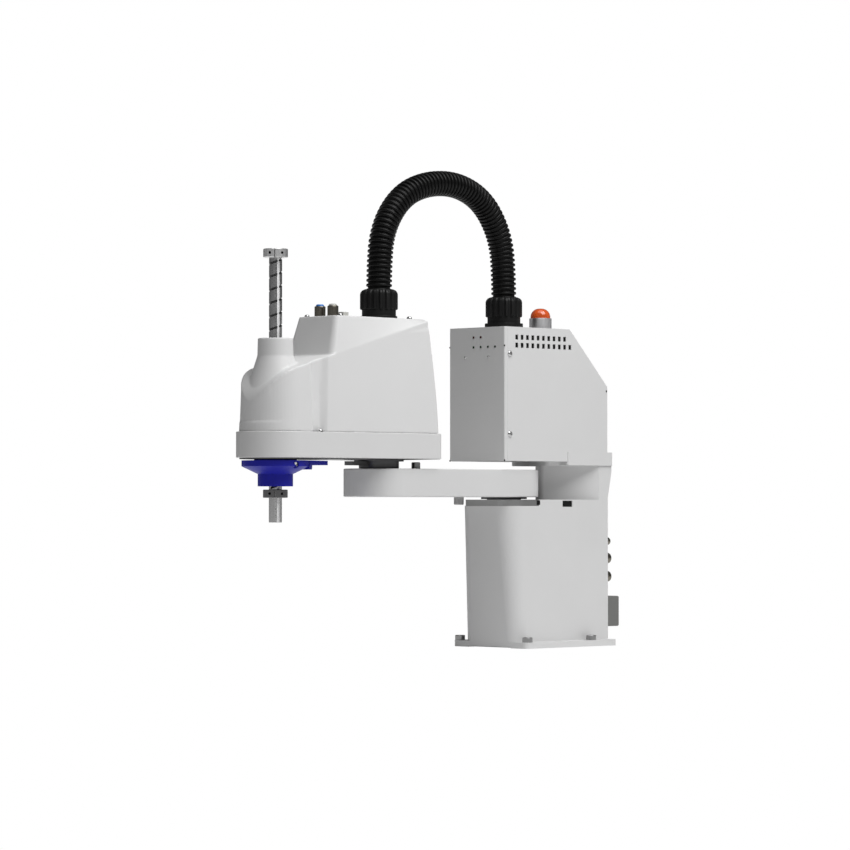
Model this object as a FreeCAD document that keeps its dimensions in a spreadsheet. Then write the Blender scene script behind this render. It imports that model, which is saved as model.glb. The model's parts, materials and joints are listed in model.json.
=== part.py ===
"""Four-axis SCARA robot with its controller box on the base, as a parametric document.

Millimetres.  The origin is the first arm's axis on the mounting surface, +X runs along the
outstretched arms, +Y is the side with the grooved screw pockets seen first, +Z is up.
"""
import FreeCAD, Part
import math
import os
import Sketcher

V = FreeCAD.Vector
X_AXIS = V(1, 0, 0)
Y_AXIS = V(0, 1, 0)
Z_AXIS = V(0, 0, 1)

# Driving dimensions. Every name here becomes the alias of one cell of the sheet.
SIZES = {
    # axes and travel
    "reach_one": 225.0,
    "reach_two": 175.0,
    # clearances
    "seat_gap": 0.05,
    "run_gap": 0.05,
    "free_gap": 0.3,
    "joint_gap": 0.1,
    # foot plate and its bolts
    "foot_front": 27.3,
    "foot_back": 145.3,
    "foot_half": 66.0,
    "foot_thick": 8.0,
    "foot_corner": 7.0,
    "bolt_edge": 6.0,
    "bolt_front": 7.8,
    "bolt_back": 44.8,
    "bolt_radius": 4.5,
    "relief_deep": 1.5,
    "relief_half": 38.0,
    "relief_long": 14.0,
    # pedestal of the base casting
    "ped_half": 49.0,
    "ped_front_low": 27.0,
    "ped_front_high": 39.0,
    "ped_round_low": 18.0,
    "ped_round": 28.7,
    "ped_back": 145.0,
    "ped_top": 189.5,
    "step_low": 181.4,
    "step_inset": 1.2,
    "step_back": 13.2,
    "core_half": 43.0,
    "core_front": 27.5,
    "core_front_low": 20.0,
    "core_step": 70.0,
    "core_back": 139.0,
    "core_low": 14.0,
    "core_high": 172.0,
    "core_round": 24.0,
    "flange_seat": 35.0,
    # column behind the first arm and the shelf on it
    "nose_x": 65.0,
    "nose_half": 6.0,
    "nose_round": 6.0,
    "flank_x": 128.0,
    "column_top": 233.9,
    "bulge_low": 192.0,
    "bulge_high": 226.0,
    "bulge_round": 22.0,
    "shelf_front": 47.0,
    "shelf_half": 34.0,
    "shelf_low": 233.0,
    "shelf_round": 8.0,
    "ledge_front": 66.7,
    "ledge_back": 152.2,
    "ledge_half": 51.0,
    "ledge_top": 251.1,
    "ledge_round": 3.0,
    "ledge_back_round": 1.5,
    "channel_front": 100.0,
    "channel_back": 132.0,
    "channel_half": 15.0,
    # slots in the side of the pedestal
    "notch_x": 13.2,
    "notch_wide": 5.3,
    "notch_z": 185.7,
    "notch_tall": 5.8,
    "window_x": 67.5,
    "window_wide": 18.7,
    "window_z": 184.2,
    "window_tall": 8.0,
    "slot_deep": 2.6,
    "slot_floor_drop": 20.0,
    # connector panel in the back of the pedestal
    "panel_half": 45.0,
    "panel_low": 15.0,
    "panel_high": 171.0,
    "panel_thick": 2.5,
    "window_half": 41.5,
    "window_low": 20.0,
    "window_high": 166.0,
    "fitting_y": 36.0,
    "fitting_z_low": 89.1,
    "fitting_z_mid": 113.0,
    "fitting_z_top": 135.2,
    "fitting_big": 6.9,
    "fitting_small": 5.0,
    "fitting_long": 20.0,
    "fitting_stem": 4.6,
    "ring_small": 3.9,
    "ring_long": 3.0,
    "tube_big": 3.05,
    "tube_small": 2.05,
    "inlet_y": 24.0,
    "inlet_wide": 38.0,
    "inlet_z": 43.7,
    "inlet_tall": 39.5,
    "inlet_deep": 29.0,
    "inlet_round": 2.0,
    "port_y": 20.0,
    "port_z": 108.0,
    "port_wide": 13.0,
    "port_tall": 38.0,
    "port_deep": 6.5,
    "stem_long": 8.0,
    "ring_lift": 1.6,
    "mouth_half": 11.0,
    "mouth_deep": 16.0,
    "contact_radius": 1.6,
    "contact_pitch": 6.4,
    "port_wall": 1.4,
    "port_wing": 4.0,
    "port_flange": 1.6,
    # drive of the first arm
    "hub_one_radius": 29.5,
    "hub_one_low": 190.2,
    "neck_one": 22.0,
    "neck_one_low": 168.0,
    "gear_one_high": 189.2,
    "gear_one_low": 158.0,
    "motor_one_half": 25.0,
    "gear_one_waist": 27.0,
    "motor_one_low": 72.0,
    "motor_one_round": 5.0,
    # first arm
    "arm_half": 44.0,
    "arm_low": 192.6,
    "arm_top": 227.8,
    "arm_edge": 1.5,
    "arm_web": 6.0,
    "arm_pocket": 20.0,
    "arm_rib": 5.0,
    "pin_one_x": 83.0,
    "pin_one_radius": 6.25,
    "pin_one_low": 182.8,
    "pin_two_back": 45.0,
    "pin_two_y": 20.0,
    "pin_two_radius": 5.5,
    "pin_two_top": 236.0,
    "pin_chamfer": 0.8,
    "pin_seat": 10.0,
    "hub_two_radius": 18.5,
    "hub_two_flange": 30.0,
    "hub_two_low": 216.0,
    "hub_two_top": 242.8,
    # collar and stop of the second arm
    "collar_radius": 25.0,
    "collar_low": 228.3,
    "collar_flange": 31.0,
    "stop_half": 7.0,
    "stop_reach": 52.6,
    "stop_low": 231.7,
    # second arm casting
    "plate_low": 236.8,
    "plate_thick": 2.9,
    "plate_inset": 4.0,
    "rim_low": 239.7,
    "rim_top": 271.4,
    "rim_back": 64.3,
    "rim_half": 51.5,
    "rim_nose": 47.6,
    "rim_corner": 10.0,
    "rim_wall": 4.0,
    "rim_floor": 6.3,
    "rim_edge": 1.0,
    "cover_step": 1.5,
    "boss_wall": 5.0,
    "gear_two_radius": 31.0,
    "gear_two_low": 243.2,
    "gear_two_high": 262.0,
    # moulded cover of the second arm
    "cover_low": 271.4,
    "cover_back": 60.6,
    "cover_half": 50.0,
    "cover_nose": 44.0,
    "cover_corner": 9.0,
    "cover_draft": 2.0,
    "cover_wall": 3.0,
    "back_lean": 18.0,
    "crease_back": 58.0,
    "crease_z": 366.0,
    "crease_fall": 28.3,
    "cover_top": 414.0,
    "top_front_back": 69.0,
    "top_back_behind": 42.7,
    "top_half": 35.5,
    "block_front_back": 55.0,
    "block_half": 42.0,
    "block_half_behind": 44.5,
    "block_round": 9.0,
    "crown_round": 7.0,
    "crease_stretch": 1.0393,
    "neck_sink": 12.0,
    "neck_radius": 21.4,
    "neck_low_radius": 21.9,
    "neck_top": 384.9,
    "neck_low": 363.3,
    "cone_radius": 31.2,
    "cone_low": 341.0,
    "neck_bore": 18.2,
    "flute_back": 32.0,
    "flute_y": 66.5,
    "flute_low_radius": 24.6,
    "flute_top_radius": 32.0,
    # spline nut, ball screw nut and their pulleys
    "shaft_radius": 8.0,
    "shaft_bore": 5.5,
    "shaft_low": 161.4,
    "shaft_top": 493.0,
    "spline_deep": 1.0,
    "spline_radius": 1.3,
    "spline_clear": 1.7,
    "spline_count": 3,
    "stop_radius": 15.0,
    "stop_drop": 0.1,
    "upper_stop_tall": 10.6,
    "lower_stop_tall": 10.0,
    "lower_clear": 3.9,
    "undercut_drop": 0.5,
    "undercut_tall": 1.0,
    "undercut_deep": 0.3,
    "slit": 1.6,
    "nut_radius": 15.5,
    "nut_low": 212.0,
    "bearing_radius": 26.0,
    "bearing_low": 240.2,
    "bearing_high": 262.0,
    "pulley_radius": 23.0,
    "pulley_lip": 1.4,
    "lip_tall": 1.2,
    "spin_pulley_low": 270.0,
    "spin_pulley_high": 281.0,
    "lift_nut_low": 283.5,
    "lift_nut_high": 326.0,
    "lift_bearing_high": 295.0,
    "lift_pulley_low": 297.0,
    "lift_pulley_high": 308.0,
    "belt_thick": 1.6,
    "belt_wide": 8.0,
    "motor_pulley": 12.0,
    "motor_back": 86.0,
    "motor_y": 18.6,
    "motor_half": 16.8,
    "motor_round": 3.0,
    "motor_long": 66.0,
    "motor_shaft": 4.0,
    "bridge_low": 284.0,
    "bridge_thick": 6.0,
    "bridge_half": 37.0,
    "bridge_nose": 37.6,
    "bridge_long": 110.0,
    "post_radius": 3.0,
    "post_back": 103.0,
    "post_y": 33.0,
    "post_front": 21.7,
    "post_front_y": 26.7,
    "riser_low": 311.5,
    "riser_thick": 2.5,
    "motor_two_half": 29.0,
    "motor_two_long": 88.0,
    "motor_two_round": 5.0,
    # blue cap under the second arm
    "cap_radius": 41.0,
    "cap_spigot": 25.8,
    "cap_high": 236.6,
    "cap_flange": 229.5,
    "cap_waist": 220.0,
    "cap_low": 205.2,
    "cap_nose": 21.4,
    "cap_bore": 17.5,
    "cap_ear_long": 76.0,
    "cap_ear_half": 12.0,
    "cap_ear_low": 231.3,
    "cap_rib_long": 50.0,
    "cap_rib_low": 225.8,
    "cap_rib_bevel": 3.0,
    "cap_screw": 1.9,
    "cap_pit": 1.3,
    "cap_pit_deep": 4.4,
    "cap_screw_turn": 87.3,
    "cap_screw_at": 38.5,
    # controller box
    "box_front": 50.0,
    "box_back": 144.3,
    "box_half": 49.1,
    "box_low": 238.6,
    "box_top": 409.6,
    "slope_x": 72.0,
    "slope_z": 336.7,
    "sheet": 1.5,
    "side_sheet": 1.2,
    "strip": 5.2,
    "slope_share": 0.414,
    "jack_wide": 16.0,
    "jack_tall": 13.5,
    "jack_proud": 1.0,
    "dome_round": 11.0,
    "bend": 1.8,
    "side_lip": 10.0,
    "vent_wide": 5.0,
    "vent_tall": 6.2,
    "vent_pitch": 9.96,
    "vent_x": 27.3,
    "vent_z_high": 396.4,
    "vent_z_low": 386.2,
    "vent_high_count": 10,
    "vent_low_count": 11,
    "screw_head": 3.2,
    "screw_tall": 1.6,
    "side_screw_x": 39.7,
    "side_screw_z_high": 375.5,
    "side_screw_z_low": 272.0,
    "front_screw_head": 1.9,
    "front_screw_tall": 0.9,
    "front_screw_y": 20.5,
    "front_screw_z": 371.4,
    "lamp_x": 56.0,
    "lamp_y": 12.0,
    "lamp_radius": 14.5,
    "lamp_high": 424.4,
    "dome_radius": 12.8,
    "dome_top": 437.2,
    "led_radius": 1.5,
    "led_proud": 0.6,
    "led_long": 6.0,
    "led_z_high": 396.8,
    "led_z_low": 384.2,
    "led_y": 5.8,
    "led_pitch": 12.7,
    "tray_half": 36.0,
    "tray_low": 262.0,
    "tray_high": 326.0,
    "board_thick": 1.6,
    "supply_half": 30.0,
    "supply_long": 90.0,
    "supply_tall": 34.0,
    "supply_front": 40.0,
    "rack_y": 14.0,
    "rack_front": 36.0,
    "rack_long": 120.0,
    "rack_tall": 62.0,
    # hose and its two glands
    "hose_radius": 15.8,
    "gland_flange": 24.6,
    "gland_flange_tall": 6.6,
    "gland_neck": 21.2,
    "gland_nut": 23.6,
    "gland_nut_low": 14.8,
    "arm_gland_flange": 22.9,
    "arm_flange_tall": 3.6,
    "arm_nut_low": 11.5,
    "gland_nut_tall": 25.4,
    "gland_grip": 19.6,
    "gland_lip": 5.0,
    "rib_deep": 1.5,
    "rib_width": 2.0,
    "rib_count": 18,
    # fittings, plug and screws on top of the second arm
    "port_back": 85.0,
    "port_half": 11.5,
    "top_fitting_radius": 6.8,
    "top_fitting_tall": 13.0,
    "top_plug_back": 113.0,
    "top_plug_tall": 15.0,
    "cap_head": 2.75,
    "top_screw_front": 80.0,
    "top_screw_behind": 24.0,
    "top_screw_y": 29.5,
    "flute_screw_y": 45.0,
    "cap_head_tall": 3.0,
}

doc = FreeCAD.newDocument("scara_robot")
sheet = doc.addObject("Spreadsheet::Sheet", "Dims")


class Size:
    """A length with its rule for the sheet, so that sums of sizes stay bound to the cells."""

    def __init__(self, rule, number):
        self.rule = rule
        self.number = number

    def __add__(self, other):
        other = as_size(other)
        return Size("(%s + %s)" % (self.rule, other.rule), self.number + other.number)

    def __sub__(self, other):
        other = as_size(other)
        return Size("(%s - %s)" % (self.rule, other.rule), self.number - other.number)

    def __mul__(self, factor):
        factor = as_size(factor)
        return Size("(%s * %s)" % (self.rule, factor.rule), self.number * factor.number)

    def __truediv__(self, factor):
        factor = as_size(factor)
        return Size("(%s / %s)" % (self.rule, factor.rule), self.number / factor.number)

    def __neg__(self):
        return Size("(0 - %s)" % self.rule, -self.number)

    def __radd__(self, other):
        return as_size(other) + self

    def __rsub__(self, other):
        return as_size(other) - self

    def __rmul__(self, other):
        return self * other


def as_size(value):
    if isinstance(value, Size):
        return value
    return Size(repr(value), float(value))


class Table:
    """The driving dimensions by name."""


def fill_sheet():
    table = Table()
    for row, (name, value) in enumerate(SIZES.items(), start=1):
        sheet.set("A%d" % row, name)
        sheet.set("B%d" % row, str(value))
        sheet.setAlias("B%d" % row, name)
    doc.recompute()
    for name in SIZES:
        setattr(table, name, Size("Dims." + name, float(sheet.get(name))))
    return table


d = fill_sheet()
ZERO = Size("0", 0.0)
joint_two = d.reach_one
joint_four = d.reach_one + d.reach_two
crease_x = joint_four - d.crease_back
flute_x = joint_four - d.flute_back
motor_x = joint_four - d.motor_back
port_x = joint_four - d.port_back
pin_two_x = joint_two - d.pin_two_back
upper_high = d.shaft_top - d.stop_drop
lower_high = d.cap_low - d.lower_clear
lower_low = lower_high - d.lower_stop_tall
PARTS = []


def bind(thing, **rules):
    """Tie properties of an object to sizes; a double underscore stands for a dot."""
    for prop, rule in rules.items():
        thing.setExpression(prop.replace("__", "."), as_size(rule).rule)


def keep(thing, label):
    """Give a finished sub-part its name and put it on the list of pieces."""
    thing.Label = label
    PARTS.append(thing)
    return thing


def move(thing, x=ZERO, y=ZERO, z=ZERO, axis=None, angle=0):
    if axis is not None:
        thing.Placement = FreeCAD.Placement(V(0, 0, 0), FreeCAD.Rotation(axis, angle))
    bind(thing, Placement__Base__x=x, Placement__Base__y=y, Placement__Base__z=z)
    return thing


# Primitives bound to the sheet
def rod(name, radius, low, high, x=ZERO, y=ZERO, axis="z"):
    """Cylinder from low to high along an axis; x and y place it across that axis."""
    thing = doc.addObject("Part::Cylinder", name)
    bind(thing, Radius=radius, Height=as_size(high) - low)
    if axis == "z":
        return move(thing, x, y, low)
    if axis == "x":
        return move(thing, low, x, y, Y_AXIS, 90)
    return move(thing, x, high, y, X_AXIS, 90)


def taper(name, low_radius, high_radius, low, high, x, y):
    thing = doc.addObject("Part::Cone", name)
    bind(thing, Radius1=low_radius, Radius2=high_radius, Height=as_size(high) - low)
    return move(thing, x, y, low)


def block(name, x_low, x_high, y_low, y_high, z_low, z_high):
    thing = doc.addObject("Part::Box", name)
    bind(thing, Length=as_size(x_high) - x_low, Width=as_size(y_high) - y_low)
    bind(thing, Height=as_size(z_high) - z_low)
    return move(thing, as_size(x_low), as_size(y_low), as_size(z_low))


def cut(name, base, tool):
    thing = doc.addObject("Part::Cut", name)
    thing.Base = base
    thing.Tool = tool
    return thing


def fuse(name, shapes):
    thing = doc.addObject("Part::MultiFuse", name)
    thing.Shapes = shapes
    return thing


def group(name, shapes):
    """Separate solids that share one node."""
    thing = doc.addObject("Part::Compound", name)
    thing.Links = shapes
    return thing


# Sketches and features bound to the sheet
def new_body(name):
    return doc.addObject("PartDesign::Body", name)


def plane_of(body, role):
    for feature in body.Origin.OriginFeatures:
        if feature.Role == role:
            return feature
    raise ValueError(role)


def new_sketch(body, name, role="XY_Plane", offset=ZERO, tilt=None):
    sketch = body.newObject("Sketcher::SketchObject", name)
    sketch.AttachmentSupport = [(plane_of(body, role), "")]
    sketch.MapMode = "FlatFace"
    if tilt is not None:
        sketch.AttachmentOffset = FreeCAD.Placement(V(0, 0, 0), FreeCAD.Rotation(Y_AXIS, 1))
        bind(sketch, AttachmentOffset__Rotation__Angle=tilt)
    bind(sketch, AttachmentOffset__Base__z=offset)
    return sketch


def hold(sketch, geometry, vertex, x, y):
    """Fix a point of the sketch at two sizes."""
    for kind, axis, size in (("DistanceX", -2, x), ("DistanceY", -1, y)):
        if size is None:
            continue
        size = as_size(size)
        if size.rule == "0":
            sketch.addConstraint(Sketcher.Constraint("PointOnObject", geometry, vertex, axis))
            continue
        index = sketch.addConstraint(
            Sketcher.Constraint(kind, -1, 1, geometry, vertex, size.number))
        sketch.setExpression("Constraints[%d]" % index, size.rule)


def polygon(sketch, corners):
    """Closed outline of straight lines, each corner held by its two sizes."""
    first = sketch.GeometryCount
    points = [(as_size(x), as_size(y)) for x, y in corners]
    count = len(points)
    for i in range(count):
        start = points[i]
        end = points[(i + 1) % count]
        line = Part.LineSegment(V(start[0].number, start[1].number, 0), V(end[0].number, end[1].number, 0))
        sketch.addGeometry(line, False)
    for i in range(count):
        sketch.addConstraint(
            Sketcher.Constraint("Coincident", first + i, 2, first + (i + 1) % count, 1))
    for i, (x, y) in enumerate(points):
        hold(sketch, first + i, 1, x, y)
    return sketch


def rectangle(sketch, x_low, x_high, y_low, y_high):
    return polygon(sketch, [(x_low, y_low), (x_high, y_low), (x_high, y_high), (x_low, y_high)])


def circle(sketch, radius, x=ZERO, y=ZERO):
    radius = as_size(radius)
    x = as_size(x)
    y = as_size(y)
    index = sketch.addGeometry(Part.Circle(V(x.number, y.number, 0), Z_AXIS, radius.number), False)
    hold(sketch, index, 3, x, y)
    rule = sketch.addConstraint(Sketcher.Constraint("Radius", index, radius.number))
    sketch.setExpression("Constraints[%d]" % rule, radius.rule)
    return sketch


def stadium(sketch, x_low, x_high, radius):
    """Two half rounds about points on the X axis, joined by straight sides."""
    low, high, round_ = as_size(x_low), as_size(x_high), as_size(radius)
    a, b, r = low.number, high.number, round_.number
    first = sketch.GeometryCount
    sketch.addGeometry(Part.LineSegment(V(a, -r, 0), V(b, -r, 0)), False)
    sketch.addGeometry(Part.ArcOfCircle(Part.Circle(V(b, 0, 0), Z_AXIS, r), -math.pi / 2, math.pi / 2), False)
    sketch.addGeometry(Part.LineSegment(V(b, r, 0), V(a, r, 0)), False)
    sketch.addGeometry(
        Part.ArcOfCircle(Part.Circle(V(a, 0, 0), Z_AXIS, r), math.pi / 2, 3 * math.pi / 2), False)
    for i in range(4):
        sketch.addConstraint(Sketcher.Constraint("Tangent", first + i, 2, first + (i + 1) % 4, 1))
    hold(sketch, first + 1, 3, high, ZERO)
    hold(sketch, first + 3, 3, low, ZERO)
    rule = sketch.addConstraint(Sketcher.Constraint("Radius", first + 1, r))
    sketch.setExpression("Constraints[%d]" % rule, round_.rule)
    return sketch


def arm_outline(sketch, back, half, centre, nose):
    """Plan of the second arm: square back and two sides that run onto a round nose."""
    xb, w, xc, r = as_size(back), as_size(half), as_size(centre), as_size(nose)
    dx = xc.number - xb.number
    swing = math.pi - math.acos(r.number / math.hypot(dx, w.number)) - math.atan2(w.number, dx)
    tx, ty = xc.number + r.number * math.cos(swing), r.number * math.sin(swing)
    ring = Part.Circle(V(xc.number, 0, 0), Z_AXIS, r.number)
    first = sketch.GeometryCount
    sketch.addGeometry(Part.LineSegment(V(xb.number, -w.number, 0), V(tx, -ty, 0)), False)
    sketch.addGeometry(Part.ArcOfCircle(ring, -swing, swing), False)
    sketch.addGeometry(Part.LineSegment(V(tx, ty, 0), V(xb.number, w.number, 0)), False)
    sketch.addGeometry(Part.LineSegment(V(xb.number, w.number, 0), V(xb.number, -w.number, 0)), False)
    for i, kind in enumerate(("Tangent", "Tangent", "Coincident", "Coincident")):
        sketch.addConstraint(Sketcher.Constraint(kind, first + i, 2, first + (i + 1) % 4, 1))
    hold(sketch, first, 1, xb, -w)
    hold(sketch, first + 3, 1, xb, w)
    hold(sketch, first + 1, 3, xc, ZERO)
    rule = sketch.addConstraint(Sketcher.Constraint("Radius", first + 1, r.number))
    sketch.setExpression("Constraints[%d]" % rule, r.rule)
    return sketch


def pad(body, sketch, length, middle=False, draft=None):
    feature = body.newObject("PartDesign::Pad", sketch.Name + "_pad")
    feature.Profile = sketch
    bind(feature, Length=length)
    if middle:
        feature.SideType = "Symmetric"
    if draft is not None:
        bind(feature, TaperAngle=draft)
    sketch.Visibility = False
    doc.recompute()
    return feature


def pocket(body, sketch, length, middle=False, upward=False):
    feature = body.newObject("PartDesign::Pocket", sketch.Name + "_pocket")
    feature.Profile = sketch
    bind(feature, Length=length)
    feature.Reversed = upward
    if middle:
        feature.SideType = "Symmetric"
    before = body.Shape.Volume
    doc.recompute()
    if not body.Shape.Volume < before - 0.01:
        raise ValueError("pocket cuts nothing: " + sketch.Name)
    return feature


def loft(body, name, sketches):
    feature = body.newObject("PartDesign::AdditiveLoft", name)
    feature.Profile = sketches[0]
    feature.Sections = sketches[1:]
    feature.Ruled = True
    doc.recompute()
    return feature


def revolve(body, sketch):
    feature = body.newObject("PartDesign::Revolution", sketch.Name + "_turn")
    feature.Profile = sketch
    feature.ReferenceAxis = (sketch, ["V_Axis"])
    feature.Angle = 360
    doc.recompute()
    return feature


def soften(body, radius, test, kind="Fillet"):
    """Round or bevel the edges of the body that pass the test."""
    tip = body.Tip
    names = ["Edge%d" % (i + 1) for i, edge in enumerate(tip.Shape.Edges) if test(edge)]
    if not names:
        raise ValueError("no edge to round on " + body.Name)
    feature = body.newObject("PartDesign::" + kind, body.Name + "_" + kind.lower())
    feature.Base = (tip, names)
    if kind == "Fillet":
        bind(feature, Radius=radius)
    else:
        bind(feature, Size=radius)
    doc.recompute()
    return feature


def lies(edge, x=None, y=None, z=None, slack=0.02):
    """True when the whole edge lies in the planes that are given."""
    bounds = edge.BoundBox
    for low, high, size in ((bounds.XMin, bounds.XMax, x), (bounds.YMin, bounds.YMax, y),
                            (bounds.ZMin, bounds.ZMax, z)):
        if size is None:
            continue
        number = as_size(size).number
        if abs(low - number) > slack or abs(high - number) > slack:
            return False
    return True


def upright(edge, x=None, y=None):
    bounds = edge.BoundBox
    tall = bounds.ZLength > 0.5 and bounds.XLength < 0.02 and bounds.YLength < 0.02
    return tall and lies(edge, x, y)


def turned(name, profile, x=ZERO, y=ZERO, label=None):
    """A piece turned on a lathe: radius and height of each corner of its half section."""
    body = new_body(name)
    sketch = polygon(new_sketch(body, name + "_section", "XZ_Plane"), profile)
    revolve(body, sketch)
    move(body, x, y)
    return keep(body, label or name)


# Base casting
def base_casting():
    body = new_body("casting")
    foot = new_sketch(body, "foot")
    rectangle(foot, -d.foot_back, d.foot_front, -d.foot_half, d.foot_half)
    pad(body, foot, d.foot_thick)
    soften(body, d.foot_corner, lambda e: upright(e))
    ends = []
    for name, height, front, corner in (("ped_foot", d.foot_thick / 2, d.ped_front_low, d.ped_round_low),
                                        ("ped_head", d.step_low, d.ped_front_high, d.ped_round)):
        sketch = new_sketch(body, name, offset=height)
        pedestal_plan(sketch, d.ped_back, d.ped_half, front, corner)
        ends.append(sketch)
    loft(body, "pedestal", ends)
    deck = new_sketch(body, "deck", offset=d.step_low)
    pedestal_plan(deck, d.ped_back, d.ped_half - d.step_inset, d.ped_front_high - d.step_inset,
                  d.ped_round - d.step_inset)
    pad(body, deck, d.ped_top - d.step_low)
    flank = new_sketch(body, "flank", offset=d.step_low)
    rectangle(flank, -d.ped_back, -d.step_back, -d.ped_half, d.ped_half)
    pad(body, flank, d.ped_top - d.step_low)
    column = new_sketch(body, "column", offset=d.ped_top)
    polygon(column, [(-d.nose_x, -d.nose_half), (-d.nose_x, d.nose_half), (-d.flank_x, d.ped_half),
                     (-d.ped_back, d.ped_half), (-d.ped_back, -d.ped_half), (-d.flank_x, -d.ped_half)])
    pad(body, column, d.column_top - d.ped_top)
    soften(body, d.nose_round, lambda e: upright(e, x=-d.nose_x))
    bulge = new_sketch(body, "bulge", "XZ_Plane")
    polygon(bulge, [(-d.core_back, d.ped_top), (-d.ped_back, d.bulge_low), (-d.ledge_back, d.bulge_high),
                    (-d.ledge_back, d.column_top), (-d.core_back, d.column_top)])
    pad(body, bulge, d.ped_half * 2, middle=True)
    soften(body, d.bulge_round, lambda e: lies(e, x=-d.ledge_back, z=d.bulge_high))
    shelf = new_sketch(body, "shelf", offset=d.shelf_low)
    rectangle(shelf, -d.ped_back, -d.shelf_front, -d.shelf_half, d.shelf_half)
    pad(body, shelf, d.box_low - d.shelf_low)
    soften(body, d.shelf_round, lambda e: upright(e, x=-d.shelf_front))
    ledge = new_sketch(body, "ledge", offset=d.column_top)
    rectangle(ledge, -d.ledge_back, -d.ledge_front, -d.ledge_half, d.ledge_half)
    pad(body, ledge, d.ledge_top - d.column_top)
    soften(body, d.ledge_round, lambda e: upright(e, x=-d.ledge_front))
    soften(body, d.ledge_back_round,
           lambda e: upright(e, x=-d.ledge_back, y=d.ledge_half) or upright(e, x=-d.ledge_back, y=-d.ledge_half))
    tray = new_sketch(body, "tray", offset=d.box_low)
    rectangle(tray, -(d.box_back + d.seat_gap), d.box_front, -(d.box_half + d.seat_gap), d.box_half + d.seat_gap)
    pocket(body, tray, d.ledge_top - d.box_low + 1, upward=True)
    core = new_sketch(body, "core", offset=d.core_low)
    rectangle(core, -d.core_back, d.core_front_low, -d.core_half, d.core_half)
    pocket(body, core, d.core_step - d.core_low, upward=True)
    drive = new_sketch(body, "drive_room", offset=d.core_step)
    pedestal_plan(drive, d.core_back, d.core_half, d.core_front, d.core_round)
    pocket(body, drive, d.core_high - d.core_step, upward=True)
    opening = new_sketch(body, "opening", "YZ_Plane", offset=-d.ped_back)
    rectangle(opening, -d.window_half, d.window_half, d.window_low, d.window_high)
    pocket(body, opening, d.ped_back - d.core_back + 1, upward=True)
    rebate = new_sketch(body, "rebate", "YZ_Plane", offset=-d.ped_back)
    rectangle(rebate, -(d.panel_half + d.joint_gap), d.panel_half + d.joint_gap, d.panel_low - d.joint_gap,
              d.panel_high + d.joint_gap)
    pocket(body, rebate, d.panel_thick, upward=True)
    seat = new_sketch(body, "gear_seat", offset=d.core_high - 1)
    circle(seat, d.flange_seat + d.seat_gap)
    pocket(body, seat, d.ped_top - d.core_high + 2, upward=True)
    channel = new_sketch(body, "channel", offset=d.core_high - 1)
    rectangle(channel, -d.channel_back, -d.channel_front, -d.channel_half, d.channel_half)
    pocket(body, channel, d.box_low - d.core_high + 2, upward=True)
    bolts = new_sketch(body, "bolts")
    for side in (1, -1):
        for place in (d.foot_front - d.bolt_front, d.bolt_back - d.foot_back):
            circle(bolts, d.bolt_radius, place, (d.foot_half - d.bolt_edge) * side)
    pocket(body, bolts, d.foot_thick, upward=True)
    relief = new_sketch(body, "relief")
    rectangle(relief, d.foot_front - d.relief_long, d.foot_front + 1, -d.relief_half, d.relief_half)
    pocket(body, relief, d.relief_deep, upward=True)
    slots = new_sketch(body, "slots", "XZ_Plane")
    slots_plan(slots)
    pocket(body, slots, (d.ped_half + 1) * 2, middle=True)
    keeper = slot_floor()
    return keep(fuse("base_casting", [body, keeper]), "base_casting")


def slots_plan(sketch):
    rectangle(sketch, -(d.notch_x + d.notch_wide / 2), -(d.notch_x - d.notch_wide / 2),
              d.notch_z - d.notch_tall / 2, d.notch_z + d.notch_tall / 2)
    rectangle(sketch, -(d.window_x + d.window_wide / 2), -(d.window_x - d.window_wide / 2),
              d.window_z - d.window_tall / 2, d.window_z + d.window_tall / 2)


def slot_floor():
    """Metal left behind the shallow slots in both flanks."""
    body = new_body("slot_floor")
    plan = new_sketch(body, "slot_floor_plan", "XZ_Plane")
    slots_plan(plan)
    pad(body, plan, (d.ped_half - d.slot_deep) * 2, middle=True)
    bore = rod("slot_floor_bore", d.flange_seat + d.seat_gap, d.step_low - d.slot_floor_drop,
               d.ped_top + d.joint_gap)
    inner = block("slot_floor_core", -d.core_back, -d.step_back + d.notch_wide, -d.core_half, d.core_half,
                  d.step_low - d.slot_floor_drop, d.core_high)
    return cut("slot_floor_solid", cut("slot_floor_cut", body, bore), inner)


def pedestal_plan(sketch, back, half, front, corner):
    """Square back, straight sides and two large round front corners."""
    b, w, f, r = as_size(back), as_size(half), as_size(front), as_size(corner)
    first = sketch.GeometryCount
    x, y, q, c = -b.number, w.number, f.number, r.number
    lower = Part.Circle(V(q - c, c - y, 0), Z_AXIS, c)
    upper = Part.Circle(V(q - c, y - c, 0), Z_AXIS, c)
    sketch.addGeometry(Part.LineSegment(V(x, -y, 0), V(q - c, -y, 0)), False)
    sketch.addGeometry(Part.ArcOfCircle(lower, -math.pi / 2, 0), False)
    sketch.addGeometry(Part.LineSegment(V(q, c - y, 0), V(q, y - c, 0)), False)
    sketch.addGeometry(Part.ArcOfCircle(upper, 0, math.pi / 2), False)
    sketch.addGeometry(Part.LineSegment(V(q - c, y, 0), V(x, y, 0)), False)
    sketch.addGeometry(Part.LineSegment(V(x, y, 0), V(x, -y, 0)), False)
    for i, kind in enumerate(("Tangent", "Tangent", "Tangent", "Tangent", "Coincident", "Coincident")):
        sketch.addConstraint(Sketcher.Constraint(kind, first + i, 2, first + (i + 1) % 6, 1))
    hold(sketch, first, 1, -b, -w)
    hold(sketch, first + 5, 1, -b, w)
    hold(sketch, first + 1, 3, f - r, r - w)
    hold(sketch, first + 3, 3, f - r, w - r)


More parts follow.
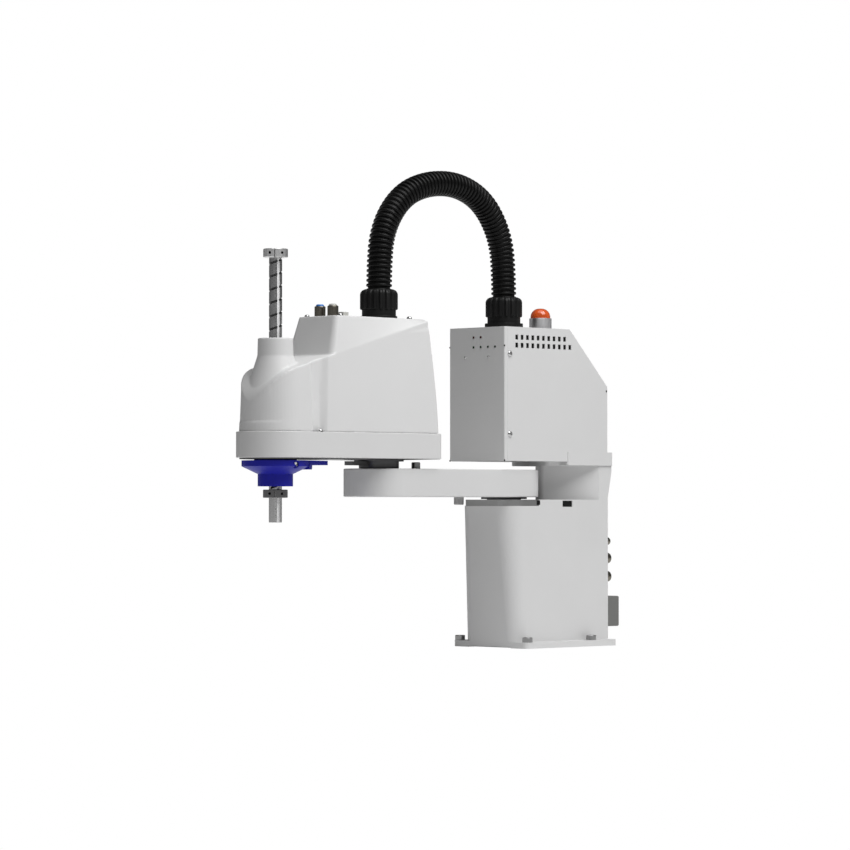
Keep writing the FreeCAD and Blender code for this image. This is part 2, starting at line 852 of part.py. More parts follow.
def tapered_plan(sketch, back, back_half, front, front_half, corner):
    """Square back, sides that draw in towards the front and two round front corners."""
    b, v, f, w, r = (as_size(size) for size in (back, back_half, front, front_half, corner))
    first = sketch.GeometryCount
    lean = math.atan2(v.number - w.number, f.number + b.number)
    run = math.tan(math.pi / 4 - lean / 2) * r.number
    q, y = f.number, w.number
    side_x, side_y = q - run * math.cos(lean), y + run * math.sin(lean)
    lower = Part.Circle(V(q - r.number, run - y, 0), Z_AXIS, r.number)
    upper = Part.Circle(V(q - r.number, y - run, 0), Z_AXIS, r.number)
    sketch.addGeometry(Part.LineSegment(V(-b.number, -v.number, 0), V(side_x, -side_y, 0)), False)
    sketch.addGeometry(Part.ArcOfCircle(lower, lean - math.pi / 2, 0), False)
    sketch.addGeometry(Part.LineSegment(V(q, run - y, 0), V(q, y - run, 0)), False)
    sketch.addGeometry(Part.ArcOfCircle(upper, 0, math.pi / 2 - lean), False)
    sketch.addGeometry(Part.LineSegment(V(side_x, side_y, 0), V(-b.number, v.number, 0)), False)
    sketch.addGeometry(Part.LineSegment(V(-b.number, v.number, 0), V(-b.number, -v.number, 0)), False)
    for i, kind in enumerate(("Tangent", "Tangent", "Tangent", "Tangent", "Coincident", "Coincident")):
        sketch.addConstraint(Sketcher.Constraint(kind, first + i, 2, first + (i + 1) % 6, 1))
    hold(sketch, first, 1, -b, -v)
    hold(sketch, first + 5, 1, -b, v)
    hold(sketch, first + 2, 1, f, None)
    hold(sketch, first + 2, 2, f, None)
    for index in (first + 1, first + 3):
        rule = sketch.addConstraint(Sketcher.Constraint("Radius", index, r.number))
        sketch.setExpression("Constraints[%d]" % rule, r.rule)
    for index, vertex, start, end in ((first, 2, -v, -w), (first + 4, 1, v, w)):
        guide = sketch.addGeometry(Part.LineSegment(V(-b.number, start.number, 0), V(q, end.number, 0)), True)
        hold(sketch, guide, 1, -b, start)
        hold(sketch, guide, 2, f, end)
        sketch.addConstraint(Sketcher.Constraint("PointOnObject", index, vertex, guide))


# Back of the base: connector panel and what is screwed into it
def rear_panel():
    plate = new_body("panel_plate")
    sketch = new_sketch(plate, "panel_plan", "YZ_Plane", offset=-d.ped_back)
    rectangle(sketch, -d.panel_half, d.panel_half, d.panel_low, d.panel_high)
    pad(plate, sketch, d.panel_thick - d.seat_gap)
    holes = new_sketch(plate, "panel_holes", "YZ_Plane", offset=-d.ped_back)
    for height in (d.fitting_z_low, d.fitting_z_mid, d.fitting_z_top):
        circle(holes, d.fitting_stem + d.seat_gap, d.fitting_y, height)
    rectangle(holes, -(d.port_y + d.port_wide / 2), -(d.port_y - d.port_wide / 2), d.port_z - d.port_tall / 2,
              d.port_z + d.port_tall / 2)
    pocket(plate, holes, d.panel_thick, upward=True)
    return keep(plate, "rear_panel")


def fitting(name, body_radius, height, bore):
    """Push-in air fitting: stem in the panel, ribbed body, ring and tube bore."""
    body = new_body(name)
    sketch = new_sketch(body, name + "_section", "XZ_Plane")
    stem = d.fitting_stem
    polygon(sketch, [(bore, -d.stem_long), (stem, -d.stem_long), (stem, ZERO), (body_radius, ZERO),
                     (body_radius, height), (d.ring_small + d.seat_gap, height),
                     (d.ring_small + d.seat_gap, height - d.ring_long), (bore, height - d.ring_long)])
    revolve(body, sketch)
    soften(body, d.pin_chamfer, lambda e: e.BoundBox.XLength > 1.9 * as_size(body_radius).number
           and lies(e, z=height), "Chamfer")
    return body


def release_ring(name, height, bore):
    """Push-down ring in the mouth of an air fitting."""
    body = new_body(name)
    sketch = new_sketch(body, name + "_section", "XZ_Plane")
    polygon(sketch, [(bore, height - d.ring_long + d.seat_gap), (d.ring_small, height - d.ring_long + d.seat_gap),
                     (d.ring_small, height + d.ring_lift), (bore, height + d.ring_lift)])
    revolve(body, sketch)
    return body


def rear_fittings():
    bodies = []
    rings = []
    for i, (height, radius, bore) in enumerate(((d.fitting_z_low, d.fitting_big, d.tube_big),
                                                (d.fitting_z_mid, d.fitting_big, d.tube_big),
                                                (d.fitting_z_top, d.fitting_small, d.tube_small))):
        for made, kept in ((fitting("rear_fit_%d" % i, radius, d.fitting_long, bore), bodies),
                           (release_ring("rear_ring_%d" % i, d.fitting_long, bore), rings)):
            move(made, -d.ped_back, d.fitting_y, height, Y_AXIS, -90)
            kept.append(made)
    keep(group("rear_fittings", bodies), "rear_air_fittings")
    keep(group("rear_rings", rings), "rear_release_rings")


def power_inlet():
    back = -(d.ped_back + d.inlet_deep)
    body = new_body("inlet")
    sketch = new_sketch(body, "inlet_plan", "YZ_Plane", offset=back)
    rectangle(sketch, d.inlet_y - d.inlet_wide / 2, d.inlet_y + d.inlet_wide / 2, d.inlet_z - d.inlet_tall / 2,
              d.inlet_z + d.inlet_tall / 2)
    pad(body, sketch, d.inlet_deep)
    soften(body, d.inlet_round, lambda e: e.BoundBox.XLength > 5 or lies(e, x=back))
    mouth = new_sketch(body, "inlet_mouth", "YZ_Plane", offset=back)
    rectangle(mouth, d.inlet_y - d.mouth_half, d.inlet_y + d.mouth_half, d.inlet_z - d.mouth_half,
              d.inlet_z + d.mouth_half)
    pocket(body, mouth, d.mouth_deep, upward=True)
    contacts = new_sketch(body, "inlet_contacts", "YZ_Plane", offset=back + d.mouth_deep / 3)
    for i in range(3):
        circle(contacts, d.contact_radius, d.inlet_y + d.contact_pitch * (i - 1), d.inlet_z)
    pad(body, contacts, d.mouth_deep)
    keep(body, "power_inlet")


def user_port(name, tall):
    """D-shaped plug socket: flange and shell in one piece."""
    body = new_body(name)
    shell = new_sketch(body, name + "_shell")
    polygon(shell, [(-tall / 2 + d.port_wall, -d.port_wide / 2 + d.port_wall),
                    (tall / 2 - d.port_wall, -d.port_wide / 2 + d.port_wall),
                    (tall / 2 - d.port_wall * 2, d.port_wide / 2 - d.port_wall),
                    (-tall / 2 + d.port_wall * 2, d.port_wide / 2 - d.port_wall)])
    pad(body, shell, d.port_deep)
    flange = new_sketch(body, name + "_flange")
    rectangle(flange, -(tall / 2 + d.port_wing), tall / 2 + d.port_wing, -d.port_wide / 2,
              d.port_wide / 2)
    pad(body, flange, d.port_flange)
    face = new_sketch(body, name + "_face", offset=d.port_deep)
    polygon(face, [(-tall / 2 + d.port_wall * 2, -d.port_wide / 2 + d.port_wall * 2),
                   (tall / 2 - d.port_wall * 2, -d.port_wide / 2 + d.port_wall * 2),
                   (tall / 2 - d.port_wall * 3, d.port_wide / 2 - d.port_wall * 2),
                   (-tall / 2 + d.port_wall * 3, d.port_wide / 2 - d.port_wall * 2)])
    pocket(body, face, d.port_deep - d.port_flange)
    return body


def base_connector():
    port = user_port("base_port", d.port_tall)
    port.Placement = FreeCAD.Placement(V(0, 0, 0), FreeCAD.Rotation(Z_AXIS, Y_AXIS, V(-1, 0, 0), "ZXY"))
    bind(port, Placement__Base__x=-d.ped_back, Placement__Base__y=-d.port_y, Placement__Base__z=d.port_z)
    keep(port, "base_user_connector")


# Drive of the first arm
def first_drive():
    turned("gear_one", [(d.neck_one + d.run_gap, d.gear_one_low), (d.gear_one_waist, d.gear_one_low),
                        (d.gear_one_waist, d.core_high), (d.flange_seat, d.core_high),
                        (d.flange_seat, d.gear_one_high), (d.neck_one + d.run_gap, d.gear_one_high)],
           label="joint_one_reducer")
    body = new_body("motor_one")
    sketch = new_sketch(body, "motor_one_plan", offset=d.motor_one_low)
    rectangle(sketch, -d.motor_one_half, d.motor_one_half, -d.motor_one_half, d.motor_one_half)
    pad(body, sketch, d.gear_one_low - d.motor_one_low - d.seat_gap)
    soften(body, d.motor_one_round, lambda e: upright(e))
    keep(body, "joint_one_motor")
    turned("hub_one", [(ZERO, d.neck_one_low), (d.neck_one, d.neck_one_low), (d.neck_one, d.hub_one_low),
                       (d.hub_one_radius, d.hub_one_low), (d.hub_one_radius, d.arm_low), (ZERO, d.arm_low)],
           label="joint_one_output_flange")


# Controller box
def box_profile(sketch, front, inset):
    """Side view of the box: upright front, flat top and a slope down to the upright back."""
    polygon(sketch, [(front, d.box_low + inset), (front, d.box_top - inset),
                     (-d.slope_x + inset * d.slope_share, d.box_top - inset),
                     (-d.box_back + inset, d.slope_z - inset * d.slope_share), (-d.box_back + inset, d.box_low + inset)])
    return sketch


def controller_chassis():
    body = new_body("chassis")
    inner = d.box_half - d.side_sheet
    pad(body, box_profile(new_sketch(body, "wrap", "XZ_Plane"), d.box_front, ZERO), inner * 2, middle=True)
    strip = rectangle(new_sketch(body, "front_strip", "XZ_Plane"), d.box_front - d.strip, d.box_front, d.box_low,
                      d.box_top)
    pad(body, strip, d.box_half * 2, middle=True)
    soften(body, d.bend, lambda e: upright(e, x=d.box_front))
    room = box_profile(new_sketch(body, "room", "XZ_Plane"), d.box_front - d.sheet, d.sheet)
    pocket(body, room, (inner - d.sheet) * 2, middle=True)
    doorway = box_profile(new_sketch(body, "doorway", "XZ_Plane"), d.box_front - d.side_lip, d.side_lip)
    pocket(body, doorway, d.box_half * 2 + 2, middle=True)
    ports = new_sketch(body, "port_window", "YZ_Plane", offset=-d.box_back)
    rectangle(ports, -d.tray_half, d.tray_half, d.tray_low, d.tray_high)
    pocket(body, ports, d.sheet + 1, upward=True)
    cable = circle(new_sketch(body, "cable_hole", offset=d.box_top), d.hose_radius)
    pocket(body, cable, d.sheet + 1)
    floor_hole = new_sketch(body, "floor_hole", offset=d.box_low)
    rectangle(floor_hole, -d.channel_back, -d.channel_front, -d.channel_half, d.channel_half)
    pocket(body, floor_hole, d.sheet + 1, upward=True)
    leds = new_sketch(body, "led_holes", "YZ_Plane", offset=d.box_front)
    for y, z in led_places():
        circle(leds, d.led_radius + d.seat_gap, y, z)
    pocket(body, leds, d.sheet + 1)
    return keep(body, "controller_chassis")


def led_places():
    return ([(d.led_pitch * i - d.led_y, d.led_z_high) for i in range(2)]
            + [(d.led_pitch * i - d.led_y, d.led_z_low) for i in range(4)])


def side_cover(name, side):
    """Flat sheet with two rows of vents, held by two screws at its front."""
    body = new_body(name)
    plane = new_sketch(body, name + "_plan", "XZ_Plane")
    box_profile(plane, d.box_front - d.strip - d.joint_gap, ZERO)
    pad(body, plane, d.side_sheet)
    for row, height, count in (("high", d.vent_z_high, d.vent_high_count), ("low", d.vent_z_low, d.vent_low_count)):
        sketch = new_sketch(body, "%s_vents_%s" % (name, row), "XZ_Plane")
        rectangle(sketch, d.vent_x - d.vent_wide / 2, d.vent_x + d.vent_wide / 2, height - d.vent_tall / 2,
                  height + d.vent_tall / 2)
        slot = pocket(body, sketch, d.side_sheet * 3, middle=True)
        row_of = body.newObject("PartDesign::LinearPattern", "%s_row_%s" % (name, row))
        row_of.Originals = [slot]
        row_of.Direction = (sketch, ["H_Axis"])
        row_of.Reversed = True
        bind(row_of, Length=d.vent_pitch * (count - 1), Occurrences=count)
        body.Tip = row_of
        doc.recompute()
    if side > 0:
        move(body, ZERO, d.box_half)
    else:
        move(body, ZERO, d.side_sheet - d.box_half)
    return keep(body, name)


def round_head(name, radius, tall):
    """Round-head screw seen from outside."""
    body = new_body(name)
    sketch = polygon(new_sketch(body, name + "_section", "XZ_Plane"),
                     [(ZERO, ZERO), (radius, ZERO), (radius, tall / 2), (radius * 0.6, tall), (ZERO, tall)])
    revolve(body, sketch)
    return body


def controller_screws():
    heads = []
    for side, turn in ((1, -90), (-1, 90)):
        for level in (d.side_screw_z_high, d.side_screw_z_low):
            head = round_head("box_screw_%d" % len(heads), d.screw_head, d.screw_tall)
            heads.append(move(head, d.side_screw_x, d.box_half * side, level, X_AXIS, turn))
    for i, side in enumerate((1, -1)):
        head = round_head("front_screw_%d" % i, d.front_screw_head, d.front_screw_tall)
        heads.append(move(head, d.box_front, d.front_screw_y * side, d.front_screw_z, Y_AXIS, 90))
    keep(group("box_screws", heads), "controller_screws")


def status_lights():
    lights = []
    for i, (y, z) in enumerate(led_places()):
        light = rod("light_%d" % i, d.led_radius, d.box_front - d.led_long, d.box_front + d.led_proud)
        lights.append(move(light, d.box_front - d.led_long, y, z, Y_AXIS, 90))
    keep(group("red_lights", lights[:2]), "status_lights_red")
    keep(group("green_lights", lights[2:]), "status_lights_green")


def controller_inside():
    """Boards on the back tray and the two drives, and the power supply on the floor."""
    back = -d.box_back + d.sheet
    plate = block("port_tray", back, back + d.sheet, -(d.tray_half + d.side_sheet), d.tray_half + d.side_sheet,
                  d.tray_low - d.sheet * 2, d.tray_high + d.sheet)
    keep(plate, "port_plate")
    wide = d.jack_wide
    jacks = [block("jack_%d" % i, -d.box_back - d.jack_proud, back, y - wide / 2, y + wide / 2, z,
                   z + d.jack_tall)
             for i, (y, z) in enumerate(((-d.tray_half * 0.6, d.tray_high - d.jack_tall * 1.6),
                                         (ZERO, d.tray_high - d.jack_tall * 1.6),
                                         (d.tray_half * 0.6, d.tray_high - d.jack_tall * 1.6)))]
    port = user_port("io_port", d.port_tall)
    port.Placement = FreeCAD.Placement(V(0, 0, 0), FreeCAD.Rotation(V(0, -1, 0), Z_AXIS, V(-1, 0, 0), "ZXY"))
    bind(port, Placement__Base__x=back, Placement__Base__z=d.tray_low + d.port_wide)
    keep(group("box_ports", jacks + [port]), "controller_ports")
    supply_back = d.supply_front - d.supply_long
    supply = new_body("supply")
    sketch = new_sketch(supply, "supply_plan", offset=d.box_low + d.sheet)
    rectangle(sketch, supply_back, d.supply_front, -d.supply_half, d.supply_half)
    pad(supply, sketch, d.supply_tall)
    soften(supply, d.bend, lambda e: lies(e, z=d.box_low + d.sheet + d.supply_tall))
    keep(supply, "power_supply")
    for i, (name, y) in enumerate((("drive_board", -d.rack_y), ("control_board", d.rack_y))):
        board = block(name + "_sheet", d.rack_front - d.rack_long, d.rack_front, y - d.board_thick / 2,
                      y + d.board_thick / 2, d.box_low + d.sheet + d.supply_tall + d.seat_gap,
                      d.box_low + d.sheet + d.supply_tall + d.rack_tall)
        keep(board, name)


def lamp():
    turned("lamp_ring", [(ZERO, d.box_top), (d.lamp_radius, d.box_top), (d.lamp_radius, d.lamp_high),
                         (ZERO, d.lamp_high)], -d.lamp_x, d.lamp_y, "signal_lamp_base")
    body = new_body("dome")
    ball = new_sketch(body, "dome_section", "XZ_Plane")
    polygon(ball, [(ZERO, d.lamp_high), (d.dome_radius, d.lamp_high), (d.dome_radius, d.dome_top), (ZERO, d.dome_top)])
    revolve(body, ball)
    soften(body, d.dome_round, lambda e: lies(e, z=d.dome_top) and e.BoundBox.XLength > 1)
    move(body, -d.lamp_x, d.lamp_y)
    keep(body, "signal_lamp_dome")


def gland(name, base, x, flange, flange_tall, nut_rise):
    """Screwed gland: flanged body with a neck, and a ribbed nut over it that the hose turns in."""
    bore = d.hose_radius + d.free_gap
    low = base + flange_tall
    nut_low = base + nut_rise
    nut_top = nut_low + d.gland_nut_tall
    turned(name + "_body", [(bore, base), (flange, base), (flange, low), (d.gland_neck, low),
                            (d.gland_neck, nut_low), (d.gland_grip, nut_low),
                            (d.gland_grip, nut_top - d.gland_lip), (bore, nut_top - d.gland_lip)],
           x, label=name + "_body")
    nut = new_body(name + "_nut")
    sketch = new_sketch(nut, name + "_nut_section", "XZ_Plane")
    polygon(sketch, [(d.gland_grip + d.seat_gap, nut_low + d.seat_gap), (d.gland_nut, nut_low + d.seat_gap),
                     (d.gland_nut, nut_top), (bore, nut_top), (bore, nut_top - d.gland_lip + d.seat_gap),
                     (d.gland_grip + d.seat_gap, nut_top - d.gland_lip + d.seat_gap)])
    revolve(nut, sketch)
    soften(nut, d.rib_deep, lambda e: lies(e, z=nut_top) and e.BoundBox.XLength > 2 * d.gland_nut.number - 0.1)
    groove = new_sketch(nut, name + "_groove", offset=nut_low + d.seat_gap)
    circle(groove, d.rib_width, d.gland_nut + d.rib_width - d.rib_deep)
    valley = pocket(nut, groove, d.gland_nut_tall - d.gland_lip, upward=True)
    ring = nut.newObject("PartDesign::PolarPattern", name + "_ribs")
    ring.Originals = [valley]
    ring.Axis = (groove, ["N_Axis"])
    ring.Angle = 360
    bind(ring, Occurrences=d.rib_count)
    nut.Tip = ring
    doc.recompute()
    move(nut, x)
    keep(nut, name + "_nut")


# First arm
def arm_one():
    body = new_body("arm_one")
    pad(body, stadium(new_sketch(body, "arm_one_plan", offset=d.arm_low), ZERO, joint_two, d.arm_half),
        d.arm_top - d.arm_low)
    soften(body, d.arm_edge, lambda e: lies(e, z=d.arm_top) or lies(e, z=d.arm_low))
    hollow = new_sketch(body, "arm_one_hollow", offset=d.arm_low)
    rectangle(hollow, d.pin_one_x + d.pin_one_radius + d.arm_web, joint_two - d.hub_two_flange - d.arm_web,
              -(d.arm_half - d.arm_web), -d.arm_rib / 2)
    rectangle(hollow, d.pin_one_x + d.pin_one_radius + d.arm_web, joint_two - d.hub_two_flange - d.arm_web,
              d.arm_rib / 2, d.arm_half - d.arm_web)
    pocket(body, hollow, d.arm_pocket, upward=True)
    seat = circle(new_sketch(body, "arm_one_seat", offset=d.arm_top), d.hub_two_flange + d.seat_gap, joint_two)
    pocket(body, seat, d.arm_top - d.hub_two_low)
    hole = circle(new_sketch(body, "pin_one_hole", offset=d.arm_low), d.pin_one_radius + d.seat_gap, d.pin_one_x)
    pocket(body, hole, d.pin_seat, upward=True)
    holes = new_sketch(body, "pin_two_holes", offset=d.arm_top)
    for side in (1, -1):
        circle(holes, d.pin_two_radius + d.seat_gap, pin_two_x, d.pin_two_y * side)
    pocket(body, holes, d.pin_seat)
    keep(body, "arm_one_casting")
    stop_pin("pin_one", d.pin_one_radius, d.pin_one_low, d.arm_low + d.pin_seat, d.pin_one_x, ZERO)
    keep(doc.getObject("pin_one"), "joint_one_stop_pin")
    for i, side in enumerate((1, -1)):
        stop_pin("pin_two_%d" % i, d.pin_two_radius, d.arm_top - d.pin_seat, d.pin_two_top, pin_two_x,
                 d.pin_two_y * side)
    keep(group("pins_two", [doc.getObject("pin_two_0"), doc.getObject("pin_two_1")]), "joint_two_stop_pins")
    turned("hub_two", [(ZERO, d.hub_two_low), (d.hub_two_flange, d.hub_two_low), (d.hub_two_flange, d.arm_top),
                       (d.hub_two_radius, d.arm_top), (d.hub_two_radius, d.hub_two_top), (ZERO, d.hub_two_top)],
           joint_two, label="joint_two_output_shaft")


def stop_pin(name, radius, low, high, x, y):
    body = new_body(name)
    sketch = polygon(new_sketch(body, name + "_section", "XZ_Plane"),
                     [(ZERO, low), (radius, low), (radius, high), (ZERO, high)])
    revolve(body, sketch)
    end = low if low.number < d.arm_low.number else high
    soften(body, d.pin_chamfer, lambda e: lies(e, z=end) and e.BoundBox.XLength > 1, "Chamfer")
    return move(body, x, y)


# Second arm
def arm_two_collar():
    ring = turned_shape("collar_ring", [(d.hub_two_radius + d.run_gap, d.collar_low),
                                        (d.collar_radius, d.collar_low), (d.collar_radius, d.plate_low - d.seat_gap),
                                        (d.collar_flange, d.plate_low - d.seat_gap),
                                        (d.collar_flange, d.rim_low), (d.hub_two_radius + d.run_gap, d.rim_low)],
                        joint_two)
    stop = block("collar_stop", joint_two + d.collar_radius - 2, joint_two + d.stop_reach, -d.stop_half,
                 d.stop_half, d.stop_low, d.plate_low - d.seat_gap)
    keep(fuse("collar", [ring, stop]), "joint_two_collar")


def turned_shape(name, profile, x=ZERO, y=ZERO):
    body = new_body(name)
    revolve(body, polygon(new_sketch(body, name + "_section", "XZ_Plane"), profile))
    return move(body, x, y)


def arm_two_bottom_plate():
    body = new_body("bottom_plate_body")
    plan = new_sketch(body, "bottom_plate_plan", offset=d.plate_low)
    arm_outline(plan, joint_two - d.rim_back + d.plate_inset, d.rim_half - d.plate_inset,
                joint_four, d.rim_nose - d.plate_inset)
    pad(body, plan, d.plate_thick - d.seat_gap)
    holes = new_sketch(body, "bottom_plate_holes", offset=d.plate_low)
    circle(holes, d.collar_flange + d.seat_gap, joint_two)
    circle(holes, d.cap_spigot + d.joint_gap, joint_four)
    pocket(body, holes, d.plate_thick, upward=True)
    keep(body, "arm_two_bottom_plate")


def arm_two_casting():
    body = new_body("rim")
    plan = new_sketch(body, "rim_plan", offset=d.rim_low)
    arm_outline(plan, joint_two - d.rim_back, d.rim_half, joint_four, d.rim_nose)
    pad(body, plan, d.rim_top - d.rim_low)
    soften(body, d.rim_corner, lambda e: upright(e, x=joint_two - d.rim_back))
    soften(body, d.rim_edge, lambda e: lies(e, z=d.rim_top) or lies(e, z=d.rim_low))
    hollow = new_sketch(body, "rim_hollow", offset=d.rim_low + d.rim_floor)
    wall = d.rim_wall + d.cover_step
    arm_outline(hollow, joint_two - d.rim_back + wall, d.rim_half - wall, joint_four,
                d.rim_nose - wall)
    pocket(body, hollow, d.rim_top - d.rim_low, upward=True)
    bosses = new_sketch(body, "rim_bosses", offset=d.rim_low)
    circle(bosses, d.gear_two_radius + d.boss_wall, joint_two)
    circle(bosses, d.bearing_radius + d.boss_wall, joint_four)
    pad(body, bosses, d.gear_two_high - d.rim_low)
    bores = new_sketch(body, "rim_bores", offset=d.rim_low)
    circle(bores, d.gear_two_radius + d.seat_gap, joint_two)
    circle(bores, d.bearing_radius + d.seat_gap, joint_four)
    pocket(body, bores, d.gear_two_high - d.rim_low + 1, upward=True)
    keep(body, "arm_two_casting")


def cover_form(name, inset, top):
    """Solid form of the moulded cover, drawn in from the outside by the inset."""
    body = new_body(name)
    floor_level = d.cover_low
    plan = new_sketch(body, name + "_plan", offset=floor_level)
    arm_outline(plan, joint_two - d.cover_back + inset, d.cover_half - inset, joint_four,
                d.cover_nose - inset)
    pad(body, plan, d.cover_top - floor_level, draft=-d.cover_draft)
    back = joint_two - d.cover_back + inset
    if inset.number < 1:
        soften(body, d.cover_corner, lambda e: abs(e.BoundBox.ZLength - (d.cover_top - floor_level).number) < 0.1
               and abs(e.BoundBox.XMin - back.number) < 0.5)
    rise = d.crease_fall / 100
    nose_end = joint_four + d.cover_nose + 10
    tail_end = back - 10
    lower = inset * 1.04
    shape = new_sketch(body, name + "_side", "XZ_Plane")
    polygon(shape, [(nose_end, d.crease_z - lower - rise * (nose_end - crease_x)),
                    (back + d.back_lean, d.crease_z - lower - rise * (back + d.back_lean - crease_x)),
                    (back, floor_level), (tail_end, floor_level), (tail_end, d.cover_top + 10),
                    (nose_end, d.cover_top + 10)])
    pocket(body, shape, d.cover_half * 3, middle=True)
    base = new_sketch(body, name + "_shoulder", offset=ZERO)
    tilt = FreeCAD.Rotation(Y_AXIS, math.degrees(math.atan(rise.number)))
    base.AttachmentOffset = FreeCAD.Placement(V(0, 0, 0), tilt)
    bind(base, AttachmentOffset__Base__x=crease_x, AttachmentOffset__Base__z=d.crease_z - lower)
    base.setExpression("AttachmentOffset.Rotation.Angle", "atan(%s)" % rise.rule)
    stretch = d.crease_stretch
    block_front = joint_four - d.block_front_back
    tapered_plan(base, (crease_x - back - d.back_lean) * stretch, d.block_half_behind - inset,
                 (block_front - inset - crease_x) * stretch, d.block_half - inset, d.block_round)
    crown = new_sketch(body, name + "_crown", offset=top)
    top_back = joint_two - d.top_back_behind
    top_front = joint_four - d.top_front_back
    pedestal_plan(crown, -(top_back + inset), d.top_half - inset, top_front - inset, d.crown_round)
    loft(body, name + "_block", [base, crown])
    return body


def cover_neck(name, inset, bore_radius, top):
    spread = d.cone_radius - inset
    return turned_shape(name, [(ZERO, d.cone_low - d.neck_sink), (spread, d.cone_low - d.neck_sink),
                               (spread, d.cone_low), (bore_radius[1], d.neck_low), (bore_radius[0], top),
                               (ZERO, top)], joint_four)


def arm_two_cover():
    outer = cover_form("cover_outer", ZERO, d.cover_top)
    inner = cover_form("cover_inner", d.cover_wall, d.cover_top - d.cover_wall)
    neck = cover_neck("cover_neck", ZERO, (d.neck_radius, d.neck_low_radius), d.neck_top)
    throat = cover_neck("cover_throat", d.cover_wall, (d.neck_bore, d.neck_bore), d.neck_top + 1)
    flutes = []
    walls = []
    for i, side in enumerate((1, -1)):
        flutes.append(taper("flute_%d" % i, d.flute_low_radius, d.flute_top_radius, d.cover_low - 1, d.cover_top,
                            flute_x, d.flute_y * side))
        walls.append(taper("flute_wall_%d" % i, d.flute_low_radius + d.cover_wall,
                           d.flute_top_radius + d.cover_wall, d.cover_low - 1, d.cover_top, flute_x,
                           d.flute_y * side))
    skin = cut("cover_skin", fuse("cover_full", [outer, neck]), fuse("flutes", flutes))
    room = fuse("cover_room", [cut("cover_core", inner, fuse("flute_walls", walls)), throat])
    doc.recompute()
    holes = [rod("cover_cable_hole", d.hose_radius, d.cover_top - d.cover_wall * 3, d.cover_top + 1, joint_two)]
    for i, side in enumerate((1, -1)):
        holes.append(rod("fitting_hole_%d" % i, d.fitting_stem + d.seat_gap, d.cover_top - d.cover_wall * 3,
                         d.cover_top + 1, port_x, d.port_half * side))
    keep(cut("cover_cut", skin, fuse("cover_openings", [room] + holes)), "arm_two_cover")


# Drives inside the second arm
def second_drive():
    turned("gear_two", [(ZERO, d.gear_two_low), (d.gear_two_radius, d.gear_two_low),
                        (d.gear_two_radius, d.gear_two_high), (ZERO, d.gear_two_high)], joint_two,
           label="joint_two_reducer")
    motor("motor_two", joint_two, ZERO, d.gear_two_high, d.motor_two_half, d.motor_two_long, d.motor_two_round,
          "joint_two_motor")


def motor(name, x, y, low, half, long, corner, label):
    """Square servo motor standing on its flange."""
    body = new_body(name)
    sketch = new_sketch(body, name + "_plan")
    rectangle(sketch, -half, half, -half, half)
    pad(body, sketch, long)
    soften(body, corner, lambda e: upright(e))
    move(body, x, y, low)
    return keep(body, label)


def bearing(name, low, high, shaft, label):
    """Ring that carries one of the nuts: bore on the nut, outside in its seat."""
    turned(name, [(shaft + d.run_gap, low), (d.bearing_radius, low), (d.bearing_radius, high),
                  (shaft + d.run_gap, high)], joint_four, label=label)


def pulley_profile(bore, radius, low, high):
    """Half section of a flanged belt pulley."""
    edge = radius + d.pulley_lip
    return [(bore, low), (edge, low), (edge, low + d.lip_tall), (radius, low + d.lip_tall),
            (radius, high - d.lip_tall), (edge, high - d.lip_tall), (edge, high), (bore, high)]


def nuts():
    bore = d.shaft_radius + d.run_gap
    edge = d.pulley_radius + d.pulley_lip
    low, high = d.spin_pulley_low, d.spin_pulley_high
    turned("spline_nut", [(bore, d.nut_low), (d.nut_radius, d.nut_low), (d.nut_radius, low), (edge, low),
                          (edge, low + d.lip_tall), (d.pulley_radius, low + d.lip_tall),
                          (d.pulley_radius, high - d.lip_tall), (edge, high - d.lip_tall), (edge, high), (bore, high)],
           joint_four, label="spline_nut")
    low, high = d.lift_pulley_low, d.lift_pulley_high
    turned("lift_nut", [(bore, d.lift_nut_low), (d.nut_radius, d.lift_nut_low), (d.nut_radius, low), (edge, low),
                        (edge, low + d.lip_tall), (d.pulley_radius, low + d.lip_tall),
                        (d.pulley_radius, high - d.lip_tall), (edge, high - d.lip_tall), (edge, high),
                        (d.nut_radius, high), (d.nut_radius, d.lift_nut_high), (bore, d.lift_nut_high)],
           joint_four, label="ball_screw_nut")
    for name, side, low, high in (("spin_pulley", 1, d.spin_pulley_low, d.spin_pulley_high),
                                  ("lift_pulley", -1, d.lift_pulley_low, d.lift_pulley_high)):
        seat = d.bridge_low + d.bridge_thick if side > 0 else d.riser_low + d.riser_thick
        outline = pulley_profile(ZERO, d.motor_pulley, low, high)
        tail = seat - d.free_gap
        outline[-1:] = [(d.motor_shaft, high), (d.motor_shaft, tail), (ZERO, tail)]
        turned(name, outline, motor_x, d.motor_y * side, label=name.replace("_pulley", "_motor_pulley"))


def belt(name, side, low, high, label):
    """Flat closed belt round a motor pulley and a nut pulley, drawn as two rounds and two tangents."""
    middle = (low + high) / 2
    inner_big = d.pulley_radius + d.free_gap
    inner_small = d.motor_pulley + d.free_gap
    solids = []
    for part, grow in (("in", ZERO), ("out", d.belt_thick)):
        body = new_body("%s_%s" % (name, part))
        plan = new_sketch(body, "%s_%s_plan" % (name, part), offset=middle - d.belt_wide / 2)
        belt_plan(plan, side, inner_big + grow, inner_small + grow)
        pad(body, plan, d.belt_wide)
        solids.append(body)
    keep(cut(name, solids[1], solids[0]), label)


